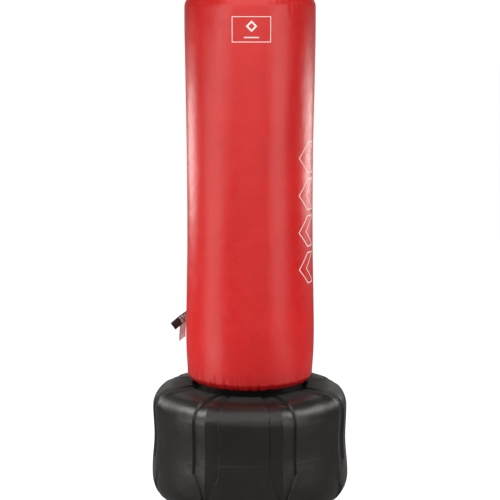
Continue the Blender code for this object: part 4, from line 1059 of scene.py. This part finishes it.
stitching = stitch_tree()
red_thread = bonded_thread("red_bonded_thread", "#8E1218", "#B5222A")
panel_steps = np.linspace(0.0, 1.0, 26)
panel_radii = panel_edge_radius * (1.0 - panel_steps)
panel_heights = cover_top_height + panel_crown * (1.0 - (panel_radii / panel_edge_radius) ** 2)
panel_top = np.column_stack((panel_radii, panel_heights))[:-1]
panel_around = np.arange(180) * 2.0
panel_rings = turned_rings(panel_top, segments=180)
ring_radius = panel_radii[:-1, None]
panel_pucker = lumps(panel_around, ring_radius * 4.0, 9, [(30, 0.6, 0.0007), (47, 0.5, 0.0004)])
panel_rings[:, :, 2] += panel_pucker * smooth_step((ring_radius - 0.085) / 0.05)
panel_rings[:, :, 2] += lumps(panel_around, ring_radius * 3.0, 2, [(3, 0.5, 0.0007)])
under = panel_rings[::-3] - np.array((0.0, 0.0, cover_thickness))
top_panel = new_piece("top_panel", ring_mesh("top_panel", np.concatenate((under, panel_rings))), vinyl, 50.0)
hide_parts("cover_top")
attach(top_panel, "bag")
welt_middle = (panel_edge_radius + 0.0004, cover_top_height + 0.0012)
welt_line = arc(welt_middle, (welt_radius, welt_radius), 0, 330, 11)
welt = new_piece("top_welt", ring_mesh("top_welt", turned_rings(welt_line, segments=180), loop=True), vinyl)
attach(welt, "bag")
seam_row = np.argmin(np.abs(line_length[-1] - line_length - seam_setback))
panel_row = 2
hem_row = np.argmin(np.abs(cover_line[:hem_steps, 0] - hem_seam_radius))
side_seam = cover_rings[seam_row] + outward[seam_row] * seam_lift
flat_seam = panel_rings[panel_row] + np.array((0.0, 0.0, seam_lift))
hem_seam = cover_rings[hem_row] + outward[hem_row] * seam_lift
seams = [np.vstack((seam, seam[:1])) for seam in (side_seam, flat_seam, hem_seam)]
sewn("cover_seam_stitches", seams, red_thread, "bag")

black_braid = braid("braided_polyester_cord", "#050505", "#1D1D1E", 0.0016)
cord_middle = (hem_radius - hem_cord_radius - 0.0003, cover_foot_height + hem_cord_radius)
cord_line = arc(cord_middle, (hem_cord_radius, hem_cord_radius), 0, 330, 11)
cord_mesh = ring_mesh("hem_cord", turned_rings(cord_line, segments=120), loop=True)
hem_cord = new_piece("hem_cord", cord_mesh, black_braid)
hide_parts("hem_drawcord")
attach(hem_cord, "bag")

# ---------------------------------------------------------------- printed marks
# White ink screen-printed on the cover: a framed plain mark at the front, high up, and a stack of
# plain chevrons down the right side. Both are simple shapes with no words or letters.

ink_line = 0.0018
ink_gap = 0.00008
ink_thickness = 0.00018
frame_middle = (0.0040, 1.3075)
frame_size = (0.104, 0.067)
lozenge_size = (0.030, 0.030)
dash_size = (0.040, 0.0030)
chevron_line = 0.0025
chevron_height = 0.086
chevron_run = 0.046
chevron_band = 0.040
chevron_pitch = 0.101
chevron_count = 4
chevron_start = (49.0, 0.662)


def screen_ink():
    """White plastisol ink: flat and nearly opaque, thin enough that a little of the red shows."""
    made = new_material("screen_ink", "#F2E9E8", 0.52)
    tree = made.node_tree
    place = add(tree, "ShaderNodeTexCoord").outputs["Object"]
    cover_up = add(tree, "ShaderNodeTexNoise", {
        "Vector": place, "Scale": 1.0 / 0.0016, "Detail": 4.0, "Roughness": 0.7,
    })
    shade = add(tree, "ShaderNodeValToRGB", {"Fac": cover_up}, [(0.28, "#E6C4C2"), (0.45, "#F7EEED")])
    skin = add(tree, "ShaderNodeBump", {"Height": cover_up, "Distance": 0.00006})
    link(made, Base_Color=shade, Normal=skin)
    return made


def inked_outline(corners, width, step=0.005):
    """A closed outline of this width inside the corners, cut short enough to bend round the bag."""
    corners = np.array(corners, float)
    count = len(corners)
    edge = np.roll(corners, -1, axis=0) - corners
    edge /= np.linalg.norm(edge, axis=1)[:, None]
    normal = np.column_stack((-edge[:, 1], edge[:, 0]))
    before = np.roll(normal, 1, axis=0)
    mitre = before + normal
    mitre /= (mitre * normal).sum(axis=1)[:, None]
    inner = corners + mitre * width
    outside, inside = [], []
    for index in range(count):
        following = (index + 1) % count
        cuts = max(1, int(np.linalg.norm(corners[following] - corners[index]) / step))
        for cut in range(cuts):
            share = cut / cuts
            outside.append(corners[index] + (corners[following] - corners[index]) * share)
            inside.append(inner[index] + (inner[following] - inner[index]) * share)
    return np.array(outside), np.array(inside)


def flat_outlines(name, outlines):
    """One flat mesh of outline rings, x along the print and y up it."""
    points, faces = [], []
    for outside, inside in outlines:
        first, count = len(points), len(outside)
        points += [(x, y, 0.0) for x, y in outside] + [(x, y, 0.0) for x, y in inside]
        for index in range(count):
            following = (index + 1) % count
            faces.append((first + index, first + following, first + count + following, first + count + index))
    mesh = bpy.data.meshes.new(name)
    mesh.from_pydata(points, [], faces)
    return mesh


def print_on_cover(name, flat, azimuth, height):
    """Lays a flat mesh of ink on the cover, its origin at this azimuth and height, and thickens it."""
    bm = bmesh.new()
    bm.from_mesh(flat)
    bmesh.ops.remove_doubles(bm, verts=bm.verts, dist=1e-6)
    bmesh.ops.recalc_face_normals(bm, faces=bm.faces)
    if bm.faces and bm.faces[:][0].normal.z < 0.0:
        bmesh.ops.reverse_faces(bm, faces=bm.faces)
    verts = list(bm.verts)
    across = np.array([vert.co.x for vert in verts])
    up = np.array([vert.co.y for vert in verts])
    turned = azimuth + np.degrees(across / cover_widest)
    low = on_cover(turned, height + up, np.full(len(verts), ink_gap))
    high = on_cover(turned, height + up, np.full(len(verts), ink_gap + ink_thickness))
    top = [bm.verts.new(point) for point in high.tolist()]
    match = {vert: top[index] for index, vert in enumerate(verts)}
    faces = list(bm.faces)
    edges = [edge for edge in bm.edges if len(edge.link_faces) == 1]
    rim = []
    for edge in edges:
        loop = edge.link_loops[0]
        rim.append((loop.vert, loop.link_loop_next.vert))
    for face in faces:
        bm.faces.new([match[vert] for vert in face.verts])
    for first, second in rim:
        bm.faces.new((first, second, match[second], match[first]))
    for vert, point in zip(verts, low.tolist()):
        vert.co = point
    for face in faces:
        face.normal_flip()
    mesh = bpy.data.meshes.new(name)
    bm.to_mesh(mesh)
    bm.free()
    piece = new_piece(name, mesh, ink, 30.0)
    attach(piece, "bag")
    return piece


def box_corners(width, height, middle=(0.0, 0.0)):
    half_width, half_height = width / 2.0, height / 2.0
    signs = ((-1, -1), (1, -1), (1, 1), (-1, 1))
    return [(middle[0] + x * half_width, middle[1] + y * half_height) for x, y in signs]


ink = screen_ink()
half_across, half_up = lozenge_size[0] / 2, lozenge_size[1] / 2
lozenge = [(0.0, -half_up), (half_across, 0.0), (0.0, half_up), (-half_across, 0.0)]
lozenge = [(x, y + 0.008) for x, y in lozenge]
badge = flat_outlines("badge", [
    inked_outline(box_corners(*frame_size), ink_line),
    inked_outline(lozenge, 0.0045, 0.003),
    inked_outline(box_corners(*dash_size, middle=(0.0, -0.021)), dash_size[1] * 0.495, 0.004),
])
badge_azimuth = math.degrees(frame_middle[0] / cover_widest)
print_on_cover("front_badge", badge, badge_azimuth, frame_middle[1])

half = chevron_height / 2.0
chevron = [
    (0.0, 0.0), (chevron_run, -half), (chevron_run + chevron_band, -half), (chevron_band, 0.0),
    (chevron_run + chevron_band, half), (chevron_run, half),
]
stack, given = nodes_tree("chevron_stack", [("Count", "Int"), ("Pitch", "Float"), ("Material", "Material")])
step = add(stack, "ShaderNodeCombineXYZ", {"Y": given["Pitch"]})
places = add(stack, "GeometryNodeMeshLine", {"Count": given["Count"], "Offset": step})
copies = add(stack, "GeometryNodeInstanceOnPoints", {"Points": places, "Instance": given["Geometry"]})
close_tree(stack, copies, given["Material"])
one = flat_outlines("chevron", [inked_outline(chevron, chevron_line)])
stacking = {"Count": chevron_count, "Pitch": chevron_pitch, "Material": ink}
flat_stack = grown("flat_chevrons", one, stack, stacking, ink)
print_on_cover("side_chevrons", flat_stack.data, *chevron_start)
bpy.data.objects.remove(flat_stack, do_unlink=True)

# ---------------------------------------------------------------- zip
# A black zip with moulded teeth, sewn down the middle of the back on woven tape. The metal slider
# parks at the foot, and its pull hangs from a small bail.

tape_low, tape_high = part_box("zip_tape")
slider_low, slider_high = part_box("zip_slider")
pull_low, pull_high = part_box("zip_pull")
zip_azimuth = 180.0
tape_width = 0.028
tape_lift = 0.0005
tape_thickness = 0.0008
tooth_pitch = 0.0031
tooth_size = (0.0046, 0.0014, 0.0013)
tooth_sink = 0.0004
tooth_offset = 0.0012


def woven_tape(name, low, high, pitch):
    """Woven polyester tape or webbing: fine ribs across it, matt black with a dusty sheen."""
    made = new_material(name, high, 0.8, Sheen_Weight=0.35, Sheen_Roughness=0.4)
    tree = made.node_tree
    lie = add(tree, "ShaderNodeUVMap", uv_map="weave")
    rib = {"Vector": lie, "Scale": 0.5 / pitch, "Distortion": 0.6, "Detail": 1.0}
    ribs = add(tree, "ShaderNodeTexWave", rib, bands_direction="Y").outputs["Fac"]
    yarn = {"Vector": lie, "Scale": 0.7 / pitch, "Distortion": 0.3}
    yarns = add(tree, "ShaderNodeTexWave", yarn, bands_direction="X").outputs["Fac"]
    weave = add(tree, "ShaderNodeMath", {0: ribs, 1: yarns}, operation="MULTIPLY")
    shade = add(tree, "ShaderNodeValToRGB", {"Fac": weave}, [(0.1, low), (0.8, high)])
    link(made, Base_Color=shade, Normal=add(tree, "ShaderNodeBump", {"Height": weave, "Distance": 0.00035}))
    return made


def sheet_piece(name, inner, outer, surface, lie=None, sharp=50.0):
    """A closed sheet between two grids of points of the same size. lie gives the weave's (across, along)
    in metres."""
    rows, columns = inner.shape[:2]
    points = np.concatenate((inner.reshape(-1, 3), outer.reshape(-1, 3)))
    lower = np.arange(rows * columns).reshape(rows, columns)
    upper = lower + rows * columns
    faces = []
    for row in range(rows - 1):
        for column in range(columns - 1):
            near, far = slice(column, column + 2), slice(row, row + 2)
            (a, b), (d, c) = lower[far, near]
            faces.append((a, d, c, b))
            (a, b), (d, c) = upper[far, near]
            faces.append((a, b, c, d))
    rim = [(0, c) for c in range(columns)] + [(r, columns - 1) for r in range(1, rows)]
    rim += [(rows - 1, c) for c in range(columns - 2, -1, -1)] + [(r, 0) for r in range(rows - 2, 0, -1)]
    for first, second in zip(rim, rim[1:] + rim[:1]):
        faces.append((lower[first], lower[second], upper[second], upper[first]))
    mesh = bpy.data.meshes.new(name)
    mesh.from_pydata(points.tolist(), [], [tuple(int(i) for i in face) for face in faces])
    bm = bmesh.new()
    bm.from_mesh(mesh)
    bmesh.ops.recalc_face_normals(bm, faces=bm.faces)
    bm.to_mesh(mesh)
    bm.free()
    if lie is not None:
        flat = np.concatenate((lie.reshape(-1, 2), lie.reshape(-1, 2)))
        layer = mesh.uv_layers.new(name="weave")
        corners = np.empty(len(mesh.loops), int)
        mesh.loops.foreach_get("vertex_index", corners)
        layer.data.foreach_set("uv", flat[corners].reshape(-1))
    return new_piece(name, mesh, surface, sharp)


def cover_patch(name, azimuth, width, low, high, lift, thickness, surface, columns=8, step=0.01,
                bulge=0.0):
    """A flat sewn-on piece that lies on the cover, its edges rounded down a little by the stitching."""
    across = np.linspace(-0.5, 0.5, columns + 1) * width
    up = np.linspace(low, high, max(2, int((high - low) / step)) + 1)
    grid_across, grid_up = np.meshgrid(across, up)
    turned = azimuth + np.degrees(grid_across / cover_widest)
    crown = bulge * (1.0 - (2.0 * grid_across / width) ** 4)
    inner = on_cover(turned, grid_up, np.full(turned.shape, lift))
    outer = on_cover(turned, grid_up, lift + thickness + crown)
    return sheet_piece(name, inner, outer, surface, np.stack((grid_across, grid_up), axis=-1))


tape_cloth = woven_tape("woven_zip_tape", "#060606", "#1F1F20", 0.0012)
black_thread = bonded_thread("black_bonded_thread", "#0A0A0A", "#262626")
tape = cover_patch("zip_tape_cloth", zip_azimuth, tape_width, tape_low.z, tape_high.z, tape_lift,
                   tape_thickness, tape_cloth)
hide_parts("zip_tape")
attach(tape, "bag")


def acetal(name):
    """Moulded acetal teeth: black, smooth and slightly glossy, with a trace of dust between them."""
    made = new_material(name, "#141414", 0.35, IOR=1.48)
    tree = made.node_tree
    place = add(tree, "ShaderNodeTexCoord").outputs["Object"]
    dust = add(tree, "ShaderNodeTexNoise", {"Vector": place, "Scale": 1.0 / 0.004, "Detail": 3.0})
    shade = add(tree, "ShaderNodeValToRGB", {"Fac": dust}, [(0.4, "#101010"), (0.8, "#242322")])
    link(made, Base_Color=shade, Roughness=add(tree, "ShaderNodeMapRange", {"Value": dust, 3: 0.28, 4: 0.5}))
    return made


def tooth_tree():
    """A moulded tooth on each point it is given, all lying square to the bag."""
    tree, given = nodes_tree("zip_teeth", [("Size", "Vector"), ("Material", "Material")])
    block = add(tree, "GeometryNodeMeshCube", {"Size": given["Size"]})
    teeth = add(tree, "GeometryNodeInstanceOnPoints", {"Points": given["Geometry"], "Instance": block})
    close_tree(tree, teeth, given["Material"])
    return tree


tooth_heights = np.arange(tape_low.z + 0.006, tape_high.z - 0.006, tooth_pitch / 2.0)
tooth_sides = np.where(np.arange(len(tooth_heights)) % 2 == 0, 1.0, -1.0) * tooth_offset
tooth_places = on_cover(
    zip_azimuth + np.degrees(tooth_sides / cover_widest), tooth_heights,
    np.full(len(tooth_heights), tape_lift + tape_thickness + tooth_size[1] / 2.0 - tooth_sink),
)
tooth_points = bpy.data.meshes.new("tooth_points")
tooth_points.from_pydata(tooth_places.tolist(), [], [])
tooth_plastic = acetal("moulded_acetal")
teeth = grown("zip_teeth", tooth_points, tooth_tree(), {
    "Size": tooth_size, "Material": tooth_plastic,
}, tooth_plastic, 25.0)
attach(teeth, "bag")
tape_edges = []
for edge in (-1.0, 1.0):
    rise = np.arange(tape_low.z + 0.003, tape_high.z - 0.003, 0.005)
    turn = zip_azimuth + np.degrees(edge * (tape_width / 2.0 - 0.0028) / cover_widest)
    tape_edges.append(on_cover(turn, rise, np.full(len(rise), tape_lift + tape_thickness + 0.0001)))
sewn("zip_tape_stitches", tape_edges, black_thread, "bag", spacing=0.0046)


def hard_block(name, low, high, surface, bevel, taper=0.0):
    """A small pressed or cast metal piece between two corners, its edges rounded."""
    bm = bmesh.new()
    size = Vector(high) - Vector(low)
    middle = (Vector(low) + Vector(high)) / 2.0
    bmesh.ops.create_cube(bm, size=1.0, matrix=Matrix.Translation(middle) @ Matrix.Diagonal((*size, 1.0)))
    for vert in bm.verts:
        if vert.co.z < middle.z:
            vert.co.x = middle.x + (vert.co.x - middle.x) * (1.0 - taper)
    bmesh.ops.bevel(bm, geom=bm.edges[:], offset=bevel, segments=3, affect="EDGES", profile=0.5)
    bmesh.ops.recalc_face_normals(bm, faces=bm.faces)
    mesh = bpy.data.meshes.new(name)
    bm.to_mesh(mesh)
    bm.free()
    return new_piece(name, mesh, surface, 30.0)


slider_middle = (slider_low + slider_high) / 2.0
slider = hard_block("zip_slider_body", slider_low, slider_high, zinc, 0.0011, taper=0.35)
bail_low = (slider_middle.x - 0.0014, slider_middle.y + 0.0012, slider_middle.z - 0.001)
bail_high = (slider_middle.x + 0.0014, slider_high.y + 0.0006, slider_middle.z + 0.0068)
bail = hard_block("slider_bail", bail_low, bail_high, zinc, 0.0006)
cut_with(slider, bail, "UNION", sharp=30.0)
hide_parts("zip_slider")
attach(slider, "zip_slider")
pull = hard_block("zip_pull_tab", pull_low, pull_high, zinc, 0.0007, taper=-0.12)
slot_middle = (pull_low + pull_high) / 2.0
eye = hard_block("pull_eye", (slot_middle.x - 0.0021, pull_low.y - 0.001, pull_high.z - 0.0066),
                 (slot_middle.x + 0.0021, pull_high.y + 0.001, pull_high.z - 0.0016), zinc, 0.0006)
cut_with(pull, eye, sharp=30.0)
grip = hard_block("pull_grip", (slot_middle.x - 0.0023, pull_high.y - 0.0004, pull_low.z + 0.004),
                  (slot_middle.x + 0.0023, pull_high.y + 0.001, pull_low.z + 0.019), zinc, 0.0003)
cut_with(pull, grip, sharp=30.0)
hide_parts("zip_pull")
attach(pull, "zip_pull")

# ---------------------------------------------------------------- closure strap
# Black polypropylene webbing, sewn on behind the bag's left side. Its free end is folded back and
# stitched, its inner face carries a grey hook-and-loop pile, and a blank care label hangs from it.

strap_azimuth = -150.0
strap_root_height = 0.520
strap_width = 0.025
strap_length = 0.148
strap_thickness = 0.0022
strap_drop = 0.055
strap_lift = 0.0006
strap_fold = 0.024
strap_fold_thickness = 0.0012
pile_start = 0.40
pile_end = 0.86
pile_thickness = 0.0014
anchor_length = 0.034
hook_length = 0.060
hook_offset = 0.045
label_width = 0.022
label_length = 0.046
label_inset = 0.012
patch_lift = 0.0005
binding_start = 0.875
binding_seam_start = 0.895
end_seam = 0.985


def loop_pile():
    """Brushed nylon loop pile: pale grey loops over a dark backing, in a coarse fuzzy speckle."""
    made = new_material("nylon_loop_pile", "#6B6B6D", 0.95, Sheen_Weight=0.7, Sheen_Roughness=0.6)
    tree = made.node_tree
    place = add(tree, "ShaderNodeTexCoord").outputs["Object"]
    loops = add(tree, "ShaderNodeTexNoise", {
        "Vector": place, "Scale": 1.0 / 0.0034, "Detail": 3.0, "Roughness": 0.7,
    })
    shades = [(0.44, "#171718"), (0.50, "#8B8C90"), (0.55, "#F6F8FA")]
    shade = add(tree, "ShaderNodeValToRGB", {"Fac": loops}, shades)
    link(made, Base_Color=shade, Normal=add(tree, "ShaderNodeBump", {"Height": loops, "Distance": 0.0016}))
    return made


def satin_label():
    """Woven satin ribbon: white with a faint warp, slightly glossy along its length."""
    made = new_material("satin_ribbon", "#F9F4F3", 0.5, Sheen_Weight=0.3, Transmission_Weight=0.15)
    tree = made.node_tree
    lie = add(tree, "ShaderNodeUVMap", uv_map="weave")
    thread = {"Vector": lie, "Scale": 420.0, "Distortion": 2.0}
    warp = add(tree, "ShaderNodeTexWave", thread, bands_direction="X").outputs["Fac"]
    shade = add(tree, "ShaderNodeValToRGB", {"Fac": warp}, [(0.2, "#F6EFEE"), (0.8, "#FDFAF9")])
    link(made, Base_Color=shade, Normal=add(tree, "ShaderNodeBump", {"Height": warp, "Distance": 0.0001}))
    return made


strap_turn = math.radians(strap_azimuth)
strap_along = np.array((math.cos(strap_turn), math.sin(strap_turn), 0.0))
strap_out = np.array((math.sin(strap_turn), -math.cos(strap_turn), 0.0))
strap_root = on_cover(strap_azimuth, strap_root_height, strap_lift)
strap_up = np.array((0.0, 0.0, 1.0))


def strap_points(share, depth, across):
    """Points of the strap: share of its length, depth out from its inner face, across its width."""
    share, depth, across = np.broadcast_arrays(share, depth, across)
    slope = np.arctan2(2.0 * strap_drop * share, strap_length)
    sag = strap_up * (strap_drop * share**2)[..., None]
    middle = strap_root + strap_along * (strap_length * share)[..., None] - sag
    upward = strap_up * np.cos(slope)[..., None] + strap_along * np.sin(slope)[..., None]
    curl = 0.0022 * share**2 * (2.0 * across / strap_width) ** 2
    return middle + strap_out * (depth + curl)[..., None] + upward * across[..., None]


def strap_layer(name, start, end, inner, outer, half_width, surface, columns, rounding=0.0004):
    """A flat part of the strap between two shares of its length, its long edges rounded."""
    shares = np.linspace(start, end, columns + 1)
    across = np.array((-1.0, -0.965, -0.9, -0.5, 0.0, 0.5, 0.9, 0.965, 1.0)) * half_width
    edge = rounding * np.array((1.0, 0.4, 0.0, 0.0, 0.0, 0.0, 0.0, 0.4, 1.0))
    grid_share, grid_across = np.meshgrid(shares, across, indexing="ij")
    lie = np.stack((grid_across, grid_share * strap_length), axis=-1)
    low = strap_points(grid_share, inner + edge[None, :], grid_across)
    high = strap_points(grid_share, outer - edge[None, :], grid_across)
    return sheet_piece(name, low, high, surface, lie, 40.0)


webbing = woven_tape("polypropylene_webbing", "#070707", "#232324", 0.0019)
strap_half = strap_width / 2.0
strap = strap_layer("strap_webbing", 0.0, 1.0, 0.0, strap_thickness, strap_half, webbing, 40)
fold_start = 1.0 - strap_fold / strap_length
fold_end = 1.012
fold_half = strap_half - 0.0004
pile_half = strap_half - 0.0018
fold = strap_layer("strap_folded_end", fold_start, fold_end, strap_thickness + 0.00005,
                   strap_thickness + strap_fold_thickness, fold_half, webbing, 10)
fold_inner = strap_layer("strap_end_binding", binding_start, fold_end, -strap_fold_thickness, -0.00005,
                         fold_half, webbing, 8)
pile = strap_layer("strap_pile", pile_start, pile_end, -pile_thickness, -0.00008, pile_half, loop_pile(), 20)
for piece, names in ((strap, ["closure_strap"]), (fold, []), (fold_inner, []), (pile, ["strap_pile_patch"])):
    if names:
        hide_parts(*names)
    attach(piece, "strap")


def strap_line(share_a, across_a, share_b, across_b, depth):
    share = np.linspace(share_a, share_b, 12)
    across = np.linspace(across_a, across_b, 12)
    return strap_points(share, np.full(12, depth), across)


grey_thread = bonded_thread("grey_bonded_thread", "#5F5F61", "#8B8B8D")
inset = strap_half - 0.0032
outer_face = strap_thickness + strap_fold_thickness + 0.0001
inner_face = -strap_fold_thickness - 0.0001
box_lines = []
for face in (outer_face, inner_face):
    first = fold_start + 0.02 if face > 0 else binding_seam_start
    last = end_seam
    for start, start_edge, end, end_edge in (
        (first, -inset, last, -inset), (first, inset, last, inset), (first, -inset, first, inset),
        (last, -inset, last, inset), (first, -inset, last, inset), (first, inset, last, -inset),
    ):
        box_lines.append(strap_line(start, start_edge, end, end_edge, face))
sewn("strap_end_stitches", box_lines, grey_thread, "strap", 0.0024, 0.0034, 0.0008)

anchor_azimuth = strap_azimuth - math.degrees((anchor_length / 2.0 + 2.0 * strap_thickness) / cover_widest)
anchor = cover_patch("strap_anchor_patch", anchor_azimuth, anchor_length, strap_root_height - strap_half,
                     strap_root_height + strap_half, patch_lift, strap_thickness - 0.0004, webbing, 12,
                     0.004, 0.0004)
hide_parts("strap_anchor")
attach(anchor, "bag")
hook_azimuth = strap_azimuth + math.degrees((hook_offset + hook_length / 2.0) / cover_widest)
hook_height = strap_root_height - strap_drop * 0.25
hook_tape = braid("nylon_hook_tape", "#050505", "#2A2A2B", 0.0014)
hooks = cover_patch("hook_patch", hook_azimuth, hook_length, hook_height - strap_half,
                    hook_height + strap_half, patch_lift, 0.0009, hook_tape, 16, 0.004)
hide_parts("strap_hook_patch")
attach(hooks, "bag")


def patch_border(azimuth, width, middle, height, lift):
    """Stitch lines along the four sides of a patch on the cover, just inside its edge."""
    x, y = width / 2.0 - 0.003, height / 2.0 - 0.003
    lines = []
    corners = ((-x, -y), (x, -y), (x, y), (-x, y))
    for (x_a, y_a), (x_b, y_b) in zip(corners, corners[1:] + corners[:1]):
        along = np.linspace(x_a, x_b, 20)
        rise = np.linspace(y_a, y_b, 20)
        lines.append(on_cover(azimuth + np.degrees(along / cover_widest), middle + rise, np.full(20, lift)))
    return lines


anchor_face = strap_thickness + 0.0008
patch_lines = patch_border(anchor_azimuth, anchor_length, strap_root_height, strap_width, anchor_face)
patch_lines += patch_border(hook_azimuth, hook_length, hook_height, strap_width, 0.0016)
sewn("patch_stitches", patch_lines, grey_thread, "bag", 0.0024, 0.0034, 0.0008)

label_end = 1.0 - label_inset / strap_length
label_begin = label_end - label_width / strap_length
label_share, label_fall = np.meshgrid(np.linspace(label_begin, label_end, 9), np.linspace(0.0, 1.0, 24))
label_lie = np.stack((label_share * strap_length, label_fall * label_length), axis=-1)
label_edge = strap_points(label_share, strap_thickness / 2.0, -strap_half - 0.0004)
label_curve = 0.006 * np.sin(label_fall * 2.4) * label_fall + 0.0012 * np.sin(label_share * 60.0) * label_fall
label_hang = label_edge - strap_up * (label_fall * label_length)[..., None]
label_middle = label_hang + strap_out * label_curve[..., None]
label_inner = label_middle - strap_out * 0.0002
label_outer = label_middle + strap_out * 0.0002
label = sheet_piece("blank_care_label", label_inner, label_outer, satin_label(), label_lie, 40.0)
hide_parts("care_label")
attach(label, "strap")

# ---------------------------------------------------------------- floor and light
# A white floor that runs out of sight, and a white surround. Soft boxes stand on both sides, low and
# high, and a large one hangs in front of and above the bag.

floor_reach = 60.0
lamp_colour = (1.0, 0.965, 0.92)
floor_mesh = bpy.data.meshes.new("floor")
floor_corners = [(x * floor_reach, y * floor_reach, 0) for x, y in ((-1, -1), (1, -1), (1, 1), (-1, 1))]
floor_mesh.from_pydata(floor_corners, [], [(0, 1, 2, 3)])
floor_paint = new_material("white_floor_paint", "#8F8F8F", 0.85, Emission_Color=linear("#FFFFFF"))
floor_tree = floor_paint.node_tree
looked_at = add(floor_tree, "ShaderNodeLightPath").outputs["Is Camera Ray"]
glow = add(floor_tree, "ShaderNodeMapRange", {"Value": looked_at, 3: 0.0, 4: 0.97})
floor_place = add(floor_tree, "ShaderNodeTexCoord").outputs["Object"]
floor_cloud = add(floor_tree, "ShaderNodeTexNoise", {"Vector": floor_place, "Scale": 1.0 / 0.2})
floor_rough = add(floor_tree, "ShaderNodeMapRange", {"Value": floor_cloud, 3: 0.8, 4: 0.9})
link(floor_paint, Emission_Strength=glow, Roughness=floor_rough)
new_piece("floor", floor_mesh, floor_paint)


def soft_box(name, where, aim, size, power, spread=180.0):
    """A rectangular studio light that faces a point; a honeycomb grid narrows its spread, in degrees."""
    lamp = bpy.data.lights.new(name, "AREA")
    lamp.shape = "RECTANGLE"
    lamp.size, lamp.size_y = size
    lamp.energy = power
    lamp.spread = math.radians(spread)
    lamp.color = lamp_colour
    light = bpy.data.objects.new(name, lamp)
    light.visible_camera = False
    bpy.context.scene.collection.objects.link(light)
    light.location = where
    light.rotation_euler = (Vector(aim) - Vector(where)).to_track_quat("-Z", "Y").to_euler()


soft_box("left_high_box", (-2.00, -2.00, 1.45), (0, 0, 1.15), (1.4, 1.1), 13.0)
soft_box("left_side_box", (-2.65, -1.05, 0.62), (0, 0, 0.65), (1.7, 1.2), 13.5)
soft_box("right_soft_box", (2.25, -1.85, 1.10), (0, 0, 1.0), (1.6, 1.9), 22.0)
soft_box("left_rim_box", (-1.64, 1.15, 0.82), (0, 0, 0.9), (1.0, 0.5), 8.0)
soft_box("right_rim_box", (1.64, 1.15, 0.84), (0, 0, 0.9), (1.0, 0.5), 8.5)
soft_box("left_low_box", (-1.15, -0.55, 0.12), (0, 0, 0.16), (0.7, 0.22), 1.2)
soft_box("right_low_box", (1.15, -0.55, 0.12), (0, 0, 0.16), (0.7, 0.22), 0.5)
soft_box("left_shoulder_box", (-1.80, 0.10, 1.60), (0, 0, 0.12), (1.5, 1.0), 3.0, 42.0)
soft_box("right_shoulder_box", (1.80, 0.05, 1.60), (0, 0, 0.12), (1.5, 1.0), 2.3, 42.0)
soft_box("back_soft_box", (0.0, 3.0, 1.3), (0, 0, 0.7), (3.0, 1.8), 7.0)
soft_box("top_soft_box", (0.0, -1.6, 2.33), (0, -0.15, 0.35), (3.0, 2.9), 45.0)
soft_box("front_soft_box", (0.0, -3.3, 0.85), (0, 0, 0.9), (3.0, 1.0), 10.0)
world = bpy.data.worlds.new("white_surround")
bpy.context.scene.world = world
world.use_nodes = True
surround = world.node_tree
seen = add(surround, "ShaderNodeLightPath").outputs["Is Camera Ray"]
strength = add(surround, "ShaderNodeMapRange", {"Value": seen, 3: 0.12, 4: 1.05})
surround.nodes["Background"].inputs["Color"].default_value = (1.0, 1.0, 1.0, 1.0)
surround.links.new(strength.outputs[0], surround.nodes["Background"].inputs["Strength"])
